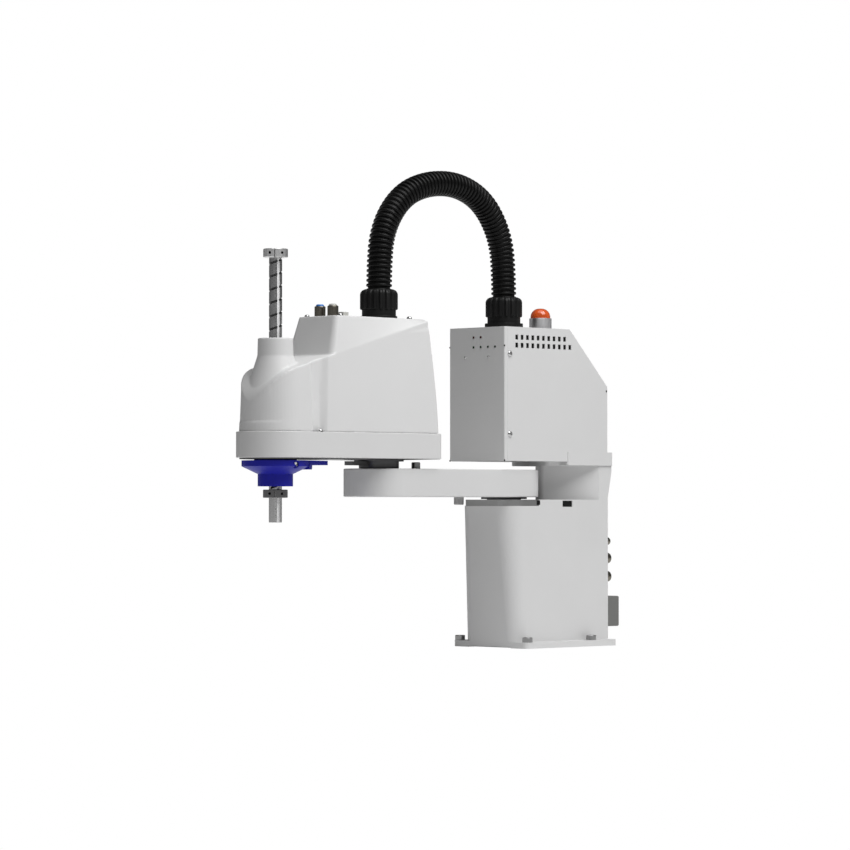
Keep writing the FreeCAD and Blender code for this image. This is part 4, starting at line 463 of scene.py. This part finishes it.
def make_finishes(colours):
    paint = tuple(colours.paint)
    FINISHES.update({
        "pale_paint": coated("pale paint", paint, 0.42, 1500.0, 0.00004, 0.012, 0.15),
        "pale_plastic": coated("pale plastic", tuple(colours.cover), 0.46, 2600.0, 0.00003, 0.010),
        "blue_plastic": coated("blue plastic", tuple(colours.cap), 0.42, 2600.0, 0.00003, 0.06, shine=0.15),
        "black_plastic": coated("black plastic", shade(colours.hose, 2.2), 0.42, 2400.0, 0.00004, 0.15,
                                shine=0.2),
        "hose_black": coated("hose plastic", tuple(colours.hose), 0.34, 1400.0, 0.00004, 0.15, shine=0.15),
        "white_plastic": coated("white plastic", (0.55, 0.55, 0.52), 0.35, 2600.0, 0.00002),
        "ring_blue": coated("ring blue", (0.05, 0.22, 0.62), 0.30, 2600.0, 0.00002),
        "shaft_steel": metal("ground steel", tuple(colours.steel), 0.24, (1.0, 1.0, 0.08), 0.03, 0.000004),
        # Near black for the insides of grooves, slits and holes: painted shade
        "painted_shade_groove": metal("shade_painted groove", (0.06, 0.06, 0.06), 0.35, (1.0, 1.0, 0.2), 0.05, 0.000004),
        # Pale non-metal in the straight shaft grooves: a painted highlight, not steel
        "painted_highlight_spline": coated("highlight_painted spline", (0.86, 0.86, 0.86), 0.3, 1500.0, 0.00001),
        "dark_steel": metal("dark steel", (0.13, 0.13, 0.132), 0.40, (1.0, 1.0, 0.2), 0.05, 0.000005),
        "collar_bright": metal("turned collar", (0.80, 0.80, 0.80), 0.36, (1.0, 1.0, 0.2), 0.03, 0.000004),
        "collar_dark": metal("blued steel", (0.16, 0.16, 0.162), 0.30, (1.0, 1.0, 0.2), 0.05, 0.000005),
        "screw_steel": metal("screw steel", (0.55, 0.55, 0.55), 0.26, (1.0, 1.0, 1.0), 0.03, 0.000003),
        # Darker metal grey for the base's top band under the first arm
        "deck_grey": metal("machined casting", (0.34, 0.34, 0.34), 0.38, (1.0, 1.0, 0.2), 0.05,
                               0.000005),
        "inlet_grey": coated("inlet housing", (0.17, 0.17, 0.165), 0.5, 1500.0, 0.00004),
        "pin_steel": metal("turned steel", (0.34, 0.34, 0.34), 0.30, (1.0, 1.0, 0.1), 0.04, 0.000005),
        "nickel_brass": metal("nickel plate", (0.20, 0.185, 0.155), 0.30, (1.0, 1.0, 0.1), 0.04, 0.000005),
        "grey_sheet": coated("grey sheet", (0.16, 0.16, 0.165), 0.5, 1500.0, 0.00004),
        "machined_aluminium": metal("machined aluminium", (0.55, 0.55, 0.56), 0.35, (0.1, 1.0, 1.0)),
        "motor_black": coated("motor paint", (0.02, 0.02, 0.022), 0.45, 1500.0, 0.00005),
        "gear_steel": metal("bearing steel", (0.38, 0.38, 0.38), 0.28, (1.0, 1.0, 0.1)),
        "belt_rubber": coated("belt rubber", (0.015, 0.015, 0.015), 0.7, 3000.0, 0.00006, 0.2),
        "board_green": coated("board", (0.01, 0.10, 0.03), 0.35, 900.0, 0.00006, 0.25),
        "lamp_grey": metal("lamp ring", (0.84, 0.84, 0.85), 0.36, (1.0, 1.0, 0.2), 0.04, 0.000005),
        "lamp_orange": lens_plastic("lamp dome", tuple(colours.dome)),
        "led_red": glowing("red light", (0.05, 0.004, 0.004), 0.01),
        "led_green": glowing("green light", (0.004, 0.03, 0.010), 0.01),
        # Near black for sheets and disks set where shade falls: painted shade
        "painted_shade_black": coated("dark shade_sheet", (0.012, 0.012, 0.012), 0.6, 1500.0, 0.00003, 0.1, shine=0.1),
    })


def bare(name):
    """Clean copy of a frame node."""
    piece = new_object("%s_finish" % name, NODES[name].data.copy())
    pick(piece)
    bpy.ops.object.mode_set(mode="EDIT")
    bpy.ops.mesh.select_all(action="SELECT")
    bpy.ops.mesh.remove_doubles(threshold=2e-6)
    bpy.ops.object.mode_set(mode="OBJECT")
    return piece


def dress(name, edge, segments=2, finish=None, shape=None):
    """Clean copy of a frame node with its sharp edges rounded and its round faces smooth."""
    piece = bare(name)
    if shape:
        for vertex in piece.data.vertices:
            vertex.co = shape(vertex.co)
    bpy.ops.object.mode_set(mode="EDIT")
    bpy.ops.mesh.select_all(action="SELECT")
    bpy.ops.mesh.dissolve_limited(angle_limit=math.radians(0.4))
    bpy.ops.object.mode_set(mode="OBJECT")
    if edge > 0.0:
        apply(piece, "BEVEL", "edges", width=edge, segments=segments, limit_method="ANGLE",
              angle_limit=math.radians(SHARP_EDGE), use_clamp_overlap=True, harden_normals=False)
    smooth(piece, SHARP_EDGE)
    weigh(piece)
    slot = SLOT_OF[name]
    return finish_piece(piece, BODY_OF[name], slot, FINISHES[finish or slot], name)


def nose_arc(radius):
    """Where the nose's slope turns into its round front: start of the arc and its centre."""
    rise = math.hypot(1.0, SLOPE)
    centre_x = NOSE_TIP - radius
    start = centre_x + radius * SLOPE / rise
    return start, centre_x, slope_height(start) - radius / rise


def slope_height(x):
    return SLOPE_Z - SLOPE * (x - SLOPE_X)


def wall_y(x, z):
    """Half width of the cover's side wall in front of the tall block."""
    return WALL_HALF - WALL_TAPER * x - WALL_LEAN * (z - RIM_TOP)


def deepen_flute(point, deep):
    """Give a point of a flute its place in a groove with a steep rear side, and keep all others."""
    x, y, z = point
    away = math.hypot(x - FLUTE_X, abs(y) - FLUTE_Y)
    radius = FLUTE_RADIUS + (z - RIM_TOP) * FLUTE_FLARE
    lining = 0.0
    if abs(away - radius - COVER_WALL) < SAME:
        lining = COVER_WALL
    elif abs(away - radius) > SAME:
        return point
    wall = wall_y(x, z)
    half = math.sqrt(max(radius ** 2 - (FLUTE_Y - wall) ** 2, 1e-8))
    share = (x - FLUTE_X) / half
    if abs(share) > 1.15:
        return point
    rise = (1.0 + share) / 0.6 if share < 0 else (1.0 - share) / 0.6
    floor = FLUTE_FLOOR_LOW if z < FLUTE_STEP else FLUTE_FLOOR_HIGH
    inner = max(wall - deep * min(max(rise, 0.0), 1.0), floor)
    return Vector((x, math.copysign(inner - lining, y), z))


def sink_lining(point, radius):
    """Lower the lining of the nose so that the rounded front leaves it covered."""
    x, y, z = point
    start, centre_x, centre_z = nose_arc(radius)
    deep = slope_height(x) - z
    if x < start - COVER_WALL or z < centre_z or deep < 0.002:
        return point
    ahead = min(x + COVER_WALL - centre_x, radius)
    drop = slope_height(x + COVER_WALL) - centre_z - math.sqrt(radius ** 2 - ahead ** 2)
    return Vector((x, y, z - max(drop, 0.0) - 0.0015))


def shorten_rear(point):
    """Draw a fitting's point toward the base's rear wall."""
    return Vector((REAR_WALL_X + (point.x - REAR_WALL_X) * REAR_SHARE, point.y, point.z))


def thin_plate(point):
    """Thin dark plate that ends behind the joint's collar."""
    if point.z > PLATE_TOP:
        return point
    return Vector((point.x, point.y, PLATE_LOW_FRONT if point.x > PLATE_STEP_X else PLATE_LOW_REAR))


def ribbed_nut(name, rib):
    """Gland nut with rounded ribs that run in over its top."""
    low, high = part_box(name)
    x, wide = (low.x + high.x) / 2, (high.x - low.x) / 2
    rings = [(0.0197, low.z), (wide - 0.001, low.z), (wide, low.z + 0.001), (wide, high.z - 0.0060),
             (wide - 0.0008, high.z - 0.0035), (wide - 0.0028, high.z - 0.0012), (wide - 0.0055, high.z),
             (0.0166, high.z), (0.0166, high.z - 0.0048), (0.0197, high.z - 0.0048), (0.0197, low.z)]
    nut = stack(name + "_ribbed", 0.0, 0.0, rings, sides=108, closed=False)
    root = wide - 0.0060
    for vertex in nut.data.vertices:
        away = math.hypot(vertex.co.x, vertex.co.y)
        count = round(math.degrees(math.atan2(vertex.co.y, vertex.co.x)) / (360 / 108)) % 6
        if away > root and count < 3:
            less = 1.0 - rib * (1.0 if count == 1 else 0.85) * (away - root) / (wide - root) / away
            vertex.co.x *= less
            vertex.co.y *= less
    nut.data.transform(Matrix.Translation((x, 0.0, 0.0)))
    smooth(nut, SHARP_EDGE)
    finish_piece(nut, BODY_OF[name], SLOT_OF[name], FINISHES["black_plastic"], name)


def clamp_collar(name, finish):
    """Split clamp collar with its slit and two screw holes on the side that the camera sees; slit and holes
    are lined with a dark finish as painted shade.
    """
    low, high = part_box(name)
    wide, bore, chamfer, middle = (high.x - low.x) / 2, 0.0081, 0.0006, (low.z + high.z) / 2
    rings = [(bore, low.z), (wide - chamfer, low.z), (wide, low.z + chamfer), (wide, high.z - chamfer),
             (wide - chamfer, high.z), (bore, high.z), (bore, low.z)]
    collar = stack(name + "_split", 0.0, 0.0, rings, sides=96, closed=False)
    collar.data.materials.append(FINISHES[finish])
    slit = block("slit", (bore - 0.001, -0.0005, low.z - 0.001), (wide + 0.002, 0.0005, high.z + 0.001))
    bores = [slit]
    for turn in (-24.0, 36.0):
        bpy.ops.mesh.primitive_cylinder_add(vertices=24, radius=0.0017, depth=0.012)
        hole = named("hole")
        settle(hole)
        away = math.radians(turn)
        toward = Vector((math.cos(away), math.sin(away), 0.0))
        aim(hole, (wide * toward.x, wide * toward.y, middle), toward)
        bores.append(hole)
    for tool in bores:
        # Slit and holes take the dark finish: painted shade
        tool.data.materials.append(FINISHES["painted_shade_groove"])
        carve(collar, tool, "opening", material_mode="TRANSFER")
    turned = Matrix.Rotation(math.radians(CAMERA_SIDE), 4, "Z")
    collar.data.transform(Matrix.Translation((SHAFT_X, 0.0, 0.0)) @ turned)
    smooth(collar, SHARP_EDGE)
    finish_piece(collar, BODY_OF[name], SLOT_OF[name], None, name)


def push_ring(name):
    """Domed release ring on top of an air fitting."""
    low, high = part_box(name)
    x, y, base = (low.x + high.x) / 2, (low.y + high.y) / 2, 0.4268
    rings = [(0.0030, base), (0.0050, base), (0.0050, base + 0.0012), (0.0046, base + 0.0020),
             (0.0036, base + 0.0025), (0.0030, base + 0.0020), (0.0030, base)]
    ring = stack(name + "_domed", x, y, rings, sides=36, closed=False)
    smooth(ring, 60.0)
    finish_piece(ring, BODY_OF[name], SLOT_OF[name], FINISHES[SLOT_OF[name]], name)


class RobotStep:
    """Things that all steps share."""
    bl_options = {"REGISTER", "UNDO"}

    @property
    def sizes(self):
        return bpy.context.scene.robot_sizes


class ROBOT_OT_finishes(RobotStep, bpy.types.Operator):
    """Make every finish and give it to the frame's nodes"""
    bl_idname = "robot.finishes"
    bl_label = "Finishes"

    def execute(self, context):
        make_finishes(context.scene.robot_colours)
        for name, piece in NODES.items():
            piece.data.materials.clear()
            piece.data.materials.append(FINISHES[SLOT_OF[name]])
        return {"FINISHED"}


class ROBOT_OT_castings(RobotStep, bpy.types.Operator):
    """Round the edges of the painted castings and sheets"""
    bl_idname = "robot.castings"
    bl_label = "Castings and sheets"

    def execute(self, context):
        for name in ("arm_one_casting", "arm_two_casting"):
            dress(name, self.sizes.edge)
        base = dress("base_casting", self.sizes.edge)
        # The base's top band under the first arm takes the darker grey
        base.data.materials.append(FINISHES["deck_grey"])
        for face in base.data.polygons:
            heights = [base.data.vertices[index].co.z for index in face.vertices]
            if min(heights) > DECK_LOW and max(heights) < DECK_HIGH and face.center.x > DECK_BACK:
                face.material_index = 1
        for name in ("controller_chassis", "controller_cover_left", "controller_cover_right"):
            dress(name, self.sizes.edge * 0.4, segments=1)
        # Thin dark sheets behind vents, slots and notches: painted shade
        shade_sheets = []
        for side in (1, -1):
            for number, (x, low, high, y) in enumerate(SHADE_SHEETS):
                reach = sorted((side * y, side * (y + SHADE_SHEET_THICK)))
                shade_sheets.append(block("hollow_%d_%d" % (side, number), (x[0], reach[0], low),
                                     (x[1], reach[1], high)))
        finish_piece(join(shade_sheets, "base_shade_sheets"), "base", "black_plastic", FINISHES["painted_shade_black"])
        return {"FINISHED"}


class ROBOT_OT_cover(RobotStep, bpy.types.Operator):
    """Moulded cover of the second arm: rounded nose, neck and deep flutes, all edges soft"""
    bl_idname = "robot.cover"
    bl_label = "Cover"

    def execute(self, context):
        sizes = self.sizes
        cover = bare("arm_two_cover")
        for vertex in cover.data.vertices:
            vertex.co = deepen_flute(vertex.co, sizes.flute_deep)
            vertex.co = sink_lining(vertex.co, sizes.nose_round)
        start, centre_x, centre_z = nose_arc(sizes.nose_round)
        tool = block("nose_tool", (start, -NOSE_BESIDE, centre_z), (NOSE_BEYOND, NOSE_BESIDE, NOSE_ABOVE))
        bpy.ops.mesh.primitive_cylinder_add(vertices=160, radius=sizes.nose_round, depth=0.2,
                                            location=(centre_x, 0.0, centre_z),
                                            rotation=(math.pi / 2, 0.0, 0.0))
        roller = named("nose_roller")
        settle(roller)
        carve(tool, roller, "nose round")
        carve(cover, tool, "nose")
        for side in (1, -1):
            tool = prism("flank_tool", FLANK, sorted((side * FLANK_IN, side * FLANK_OUT)))
            carve(cover, tool, "flank")
        neck = stack("neck", SHAFT_X, 0.0, NECK, sides=128, closed=False)
        cover = join([cover, neck], "arm_two_cover_moulded")
        apply(cover, "REMESH", "skin", mode="VOXEL", voxel_size=sizes.mould_grain)
        apply(cover, "SMOOTH", "soft edges", factor=0.5, iterations=7)
        smooth(cover, 60.0)
        finish_piece(cover, "arm_2", "pale_plastic", FINISHES["pale_plastic"], "arm_two_cover")
        return {"FINISHED"}


class ROBOT_OT_small_pieces(RobotStep, bpy.types.Operator):
    """Break the edges of the turned and moulded small pieces"""
    bl_idname = "robot.small_pieces"
    bl_label = "Small pieces"

    def execute(self, context):
        edge = self.sizes.edge
        for name in ("spline_cap", "base_gland_body", "arm_gland_body"):
            dress(name, edge * 0.6)
        dress("power_inlet", edge * 0.6, finish="inlet_grey")
        for name in ("joint_two_collar", "joint_one_stop_pin", "joint_two_stop_pins",
                     "joint_one_output_flange", "top_air_fittings", "signal_lamp_base",
                     "signal_lamp_dome", "top_user_connector",
                     "base_user_connector", "status_lights_red", "status_lights_green", "spline_cap_screws"):
            dress(name, edge * 0.3, segments=1)
        for name in ("rear_air_fittings", "rear_release_rings"):
            dress(name, edge * 0.3, segments=1, shape=shorten_rear)
        dress("arm_two_bottom_plate", 0.0, shape=thin_plate)
        for name in ("base_gland_nut", "arm_gland_nut"):
            ribbed_nut(name, self.sizes.nut_rib)
        clamp_collar("upper_stop_collar", "collar_bright")
        clamp_collar("lower_stop_collar", "collar_dark")
        for name in ("release_ring_blue", "release_ring_white"):
            push_ring(name)
        return {"FINISHED"}


class ROBOT_OT_screws(RobotStep, bpy.types.Operator):
    """Domed screw heads of the cover and of the controller box"""
    bl_idname = "robot.screws"
    bl_label = "Screws"

    def execute(self, context):
        heads = []
        for place in COVER_SCREWS + FLUTE_SCREWS:
            heads.append(round_screw("head", place, (0, 0, 1), 0.0033, 0.0030))
        finish_piece(join(heads, "cover_screw_heads"), "arm_2", "pin_steel", FINISHES["screw_steel"],
                     "cover_screws")
        # Dark disk in the cap's counterbore: painted shade
        pit = stack("cap_pit", 0.0, 0.0, [(0.0029, -0.001), (0.0029, 0.0005)], sides=24)
        aim(pit, CAP_PIT, CAP_TOWARD)
        finish_piece(pit, "arm_2", "black_plastic", FINISHES["painted_shade_black"])
        head = round_screw("cap_side_screw", CAP_HEAD, CAP_TOWARD, 0.0018, 0.0010)
        finish_piece(head, "arm_2", "pin_steel", FINISHES["collar_bright"])
        heads = []
        for z in BOX_SIDE_SCREW_Z:
            for side in (-1, 1):
                place = (BOX_SIDE_SCREW_X, side * BOX_SIDE_Y, z)
                heads.append(round_screw("head", place, (0, side, 0), 0.0040, 0.0020))
        for place in BOX_FRONT_SCREWS:
            heads.append(round_screw("head", place, (1, 0, 0), 0.0019, 0.0009))
        finish_piece(join(heads, "controller_screw_heads"), "base", "pin_steel", FINISHES["screw_steel"],
                     "controller_screws")
        return {"FINISHED"}


class ROBOT_OT_hose(RobotStep, bpy.types.Operator):
    """Corrugated cable hose from gland to gland"""
    bl_idname = "robot.hose"
    bl_label = "Hose"

    def execute(self, context):
        sizes = self.sizes
        line = bpy.data.curves.new("hose_line", "CURVE")
        line.dimensions = "3D"
        line.resolution_u = 24
        spline = line.splines.new("NURBS")
        spline.points.add(len(HOSE_ROUTE) - 1)
        for point, (x, z) in zip(spline.points, HOSE_ROUTE):
            point.co = (x, 0.0, z, 1.0)
        spline.order_u = 3
        spline.use_endpoint_u = True
        guide = new_object("hose_guide", line)
        bpy.context.view_layer.update()
        trace = bpy.data.meshes.new_from_object(guide.evaluated_get(bpy.context.evaluated_depsgraph_get()))
        path = [vertex.co.copy() for vertex in trace.vertices]
        bpy.data.meshes.remove(trace)
        long = sum((b - a).length for a, b in zip(path, path[1:]))
        count = round(long / sizes.hose_pitch)
        pitch = long / count
        root, crest = sizes.hose_root, sizes.hose_crest
        rings = [(root, 0.0), (root, pitch * 0.14), (crest - 0.0006, pitch * 0.24), (crest, pitch * 0.36),
                 (crest, pitch * 0.66), (crest - 0.0006, pitch * 0.78), (root, pitch * 0.88), (root, pitch)]
        hose = stack("cable_hose_ribbed", 0.0, 0.0, rings, sides=sizes.sides, closed=False)
        hose.data.transform(Matrix.Rotation(math.radians(90), 4, "Y"))
        apply(hose, "ARRAY", "ribs", count=count, use_relative_offset=False, use_constant_offset=True,
              constant_offset_displace=(pitch, 0.0, 0.0), use_merge_vertices=True, merge_threshold=1e-5)
        apply(hose, "CURVE", "bend", object=guide, deform_axis="POS_X")
        bpy.data.objects.remove(guide)
        pick(hose)
        bpy.ops.object.mode_set(mode="EDIT")
        bpy.ops.mesh.select_all(action="SELECT")
        bpy.ops.mesh.normals_make_consistent(inside=False)
        bpy.ops.object.mode_set(mode="OBJECT")
        smooth(hose, 60.0)
        finish_piece(hose, "arm_1", "hose_black", FINISHES["hose_black"], "cable_hose")
        return {"FINISHED"}


class ROBOT_OT_shaft(RobotStep, bpy.types.Operator):
    """Ball screw spline shaft: its helical groove lined with dark painted shade, its straight grooves with a
    pale painted highlight
    """
    bl_idname = "robot.shaft"
    bl_label = "Shaft"

    def execute(self, context):
        sizes = self.sizes
        low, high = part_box("spline_shaft")
        radius = (high.x - low.x) / 2
        bore, chamfer = SHAFT_BORE, SHAFT_CHAMFER
        wall = [(bore, low.z), (radius - chamfer, low.z), (radius, low.z + chamfer),
                (radius, high.z - chamfer), (radius - chamfer, high.z), (bore, high.z), (bore, low.z)]
        shaft = stack("spline_shaft_grooved", 0.0, 0.0, wall, sides=96, closed=False)
        shaft.data.materials.append(FINISHES["shaft_steel"])
        bpy.ops.mesh.primitive_circle_add(vertices=12, radius=sizes.groove_radius, fill_type="NOTHING",
                                          location=(radius + 0.0003, 0.0, 0.0),
                                          rotation=(math.pi / 2, 0.0, 0.0))
        tool = named("groove_tool")
        settle(tool)
        turns = math.ceil((high.z - THREAD_FROM) / sizes.shaft_lead)
        apply(tool, "SCREW", "thread", axis="Z", screw_offset=sizes.shaft_lead, iterations=turns, steps=40,
              render_steps=40, use_merge_vertices=True)
        pick(tool)
        bpy.ops.object.mode_set(mode="EDIT")
        bpy.ops.mesh.select_all(action="SELECT")
        bpy.ops.mesh.fill_holes(sides=0)
        bpy.ops.mesh.normals_make_consistent(inside=False)
        bpy.ops.object.mode_set(mode="OBJECT")
        tool.data.transform(Matrix.Translation((0.0, 0.0, THREAD_LIFT)))
        # The helical groove's faces take the dark finish: painted shade
        tool.data.materials.append(FINISHES["painted_shade_groove"])
        carve(shaft, tool, "screw groove", material_mode="TRANSFER")
        # Three straight grooves near the camera side, lined with the pale painted highlight
        for number in range(3):
            away = math.radians(CAMERA_SIDE + SPLINE_TURN + 120.0 * number)
            out = radius + SPLINE_OUT
            bpy.ops.mesh.primitive_cylinder_add(vertices=24, radius=SPLINE_RADIUS, depth=1.0,
                                                location=(out * math.cos(away), out * math.sin(away), 0.3))
            tool = named("spline_tool")
            settle(tool)
            tool.data.materials.append(FINISHES["painted_highlight_spline"])
            carve(shaft, tool, "spline groove", material_mode="TRANSFER")
        shaft.data.transform(Matrix.Translation((SHAFT_X, 0.0, 0.0)))
        smooth(shaft, 30.0)
        finish_piece(shaft, "shaft", "shaft_steel", None, "spline_shaft")
        return {"FINISHED"}


class ROBOT_OT_foot_bolts(RobotStep, bpy.types.Operator):
    """Four socket head screws that hold the foot plate"""
    bl_idname = "robot.foot_bolts"
    bl_label = "Foot bolts"

    def execute(self, context):
        sizes = self.sizes
        seat = FOOT_TOP
        top = seat + sizes.bolt_tall
        head = sizes.bolt_head
        hexagon = 0.0034
        for number, (x, y) in enumerate(FOOT_BOLTS, start=1):
            rings = [(0.0040, 0.0005), (0.0040, seat), (head - 0.0003, seat), (head, seat + 0.0003),
                     (head, top - 0.0008), (head - 0.0008, top), (hexagon, top), (hexagon, top - 0.004)]
            bolt = stack("foot_bolt_%d" % number, x, y, rings, sides=36)
            smooth(bolt, 30.0)
            finish_piece(bolt, "base", "pin_steel", FINISHES["pin_steel"])
        return {"FINISHED"}


class ROBOT_OT_stage(RobotStep, bpy.types.Operator):
    """Floor, lights and camera"""
    bl_idname = "robot.stage"
    bl_label = "Stage"

    def execute(self, context):
        stage = context.scene.robot_stage
        lay_floor()
        light_up(stage)
        set_camera(stage)
        context.scene.view_settings.view_transform = "Standard"
        return {"FINISHED"}


def white_for_camera(tree):
    """Factor that is 1 where the camera, a reflection or a refraction looks, and 0 elsewhere."""
    path = node(tree, "ShaderNodeLightPath")
    either = node(tree, "ShaderNodeMath", operation="MAXIMUM")
    all_three = node(tree, "ShaderNodeMath", operation="MAXIMUM")
    tree.links.new(path.outputs["Is Camera Ray"], either.inputs[0])
    tree.links.new(path.outputs["Is Glossy Ray"], either.inputs[1])
    tree.links.new(either.outputs["Value"], all_three.inputs[0])
    tree.links.new(path.outputs["Is Transmission Ray"], all_three.inputs[1])
    return all_three.outputs["Value"]


def lay_floor():
    bpy.ops.mesh.primitive_grid_add(x_subdivisions=8, y_subdivisions=8, size=16.0, location=(0, 0, -0.0005))
    floor = named("studio_floor")
    settle(floor)
    material, tree, shader = new_material("studio floor")
    shader.inputs["Roughness"].default_value = 0.9
    place = object_place(tree)
    stops = [(0.3, (0.84, 0.84, 0.84)), (0.7, (0.86, 0.86, 0.86))]
    tree.links.new(ramp(tree, noise(tree, place, 2.0), stops), shader.inputs["Base Color"])
    glow = node(tree, "ShaderNodeEmission")
    glow.inputs["Color"].default_value = (1.0, 1.0, 1.0, 1.0)
    glow.inputs["Strength"].default_value = 1.0
    mix = node(tree, "ShaderNodeMixShader")
    tree.links.new(white_for_camera(tree), mix.inputs["Fac"])
    tree.links.new(shader.outputs["BSDF"], mix.inputs[1])
    tree.links.new(glow.outputs["Emission"], mix.inputs[2])
    tree.links.new(mix.outputs["Shader"], tree.nodes["Material Output"].inputs["Surface"])
    floor.data.materials.append(material)


def light_up(stage):
    for name, azimuth, elevation, far, wide, power in (
            ("key", 95.0, 55.0, 2.6, 1.8, stage.key),
            ("top", 60.0, 80.0, 2.4, 1.6, stage.top)):
        turn, lift = math.radians(azimuth), math.radians(elevation)
        target = Vector((0.13, 0.0, 0.28))
        place = target + far * Vector((math.cos(lift) * math.cos(turn), math.cos(lift) * math.sin(turn),
                                       math.sin(lift)))
        data = bpy.data.lights.new("studio_%s" % name, "AREA")
        data.size = wide
        data.energy = power
        lamp = new_object("studio_%s" % name, data)
        lamp.location = place
        lamp.rotation_euler = (target - place).to_track_quat("-Z", "Y").to_euler()
    world = bpy.data.worlds.new("studio")
    world.use_nodes = True
    bpy.context.scene.world = world
    tree = world.node_tree
    ambient = tree.nodes["Background"]
    ambient.inputs["Color"].default_value = (1.0, 1.0, 1.0, 1.0)
    ambient.inputs["Strength"].default_value = stage.sky
    seen = node(tree, "ShaderNodeBackground")
    seen.inputs["Color"].default_value = (1.0, 1.0, 1.0, 1.0)
    seen.inputs["Strength"].default_value = 1.0
    mix = node(tree, "ShaderNodeMixShader")
    path = node(tree, "ShaderNodeLightPath")
    tree.links.new(path.outputs["Is Camera Ray"], mix.inputs["Fac"])
    tree.links.new(ambient.outputs["Background"], mix.inputs[1])
    tree.links.new(seen.outputs["Background"], mix.inputs[2])
    tree.links.new(mix.outputs["Shader"], tree.nodes["World Output"].inputs["Surface"])


def set_camera(stage):
    data = bpy.data.cameras.new("view")
    data.sensor_width = 36.0
    data.lens = stage.lens
    data.clip_end = 50.0
    camera = new_object("view", data)
    camera.location = stage.camera_place
    turn = stage.heading
    ahead = Vector((-math.cos(turn), -math.sin(turn), 0.0))
    right = Vector((-math.sin(turn), math.cos(turn), 0.0))
    look = ahead - math.tan(stage.yaw) * right + math.tan(stage.pitch) * Vector((0.0, 0.0, 1.0))
    camera.rotation_euler = look.to_track_quat("-Z", "Y").to_euler()
    bpy.context.scene.camera = camera


class ROBOT_PT_panel(bpy.types.Panel):
    """Steps that build the robot"""
    bl_label = "SCARA robot"
    bl_idname = "ROBOT_PT_panel"
    bl_space_type = "VIEW_3D"
    bl_region_type = "UI"
    bl_category = "SCARA robot"

    def draw(self, context):
        column = self.layout.column()
        for step in STEPS:
            column.operator(step.bl_idname)
        for group in (context.scene.robot_sizes, context.scene.robot_colours, context.scene.robot_stage):
            for name in group.__annotations__:
                column.prop(group, name)


STEPS = (ROBOT_OT_stage, ROBOT_OT_finishes, ROBOT_OT_hose, ROBOT_OT_shaft, ROBOT_OT_castings, ROBOT_OT_cover,
         ROBOT_OT_small_pieces, ROBOT_OT_screws, ROBOT_OT_foot_bolts)
CLASSES = (RobotSizes, RobotColours, RobotStage) + STEPS + (ROBOT_PT_panel,)


def register():
    for item in CLASSES:
        bpy.utils.register_class(item)
    bpy.types.Scene.robot_sizes = PointerProperty(type=RobotSizes)
    bpy.types.Scene.robot_colours = PointerProperty(type=RobotColours)
    bpy.types.Scene.robot_stage = PointerProperty(type=RobotStage)


def unregister():
    del bpy.types.Scene.robot_stage
    del bpy.types.Scene.robot_colours
    del bpy.types.Scene.robot_sizes
    for item in reversed(CLASSES):
        bpy.utils.unregister_class(item)


def main():
    register()
    bpy.ops.robot.stage()
    bpy.ops.robot.finishes()
    bpy.ops.robot.hose()
    bpy.ops.robot.shaft()
    bpy.ops.robot.castings()
    bpy.ops.robot.cover()
    bpy.ops.robot.small_pieces()
    bpy.ops.robot.screws()
    bpy.ops.robot.foot_bolts()


if __name__ == "__main__":
    main()
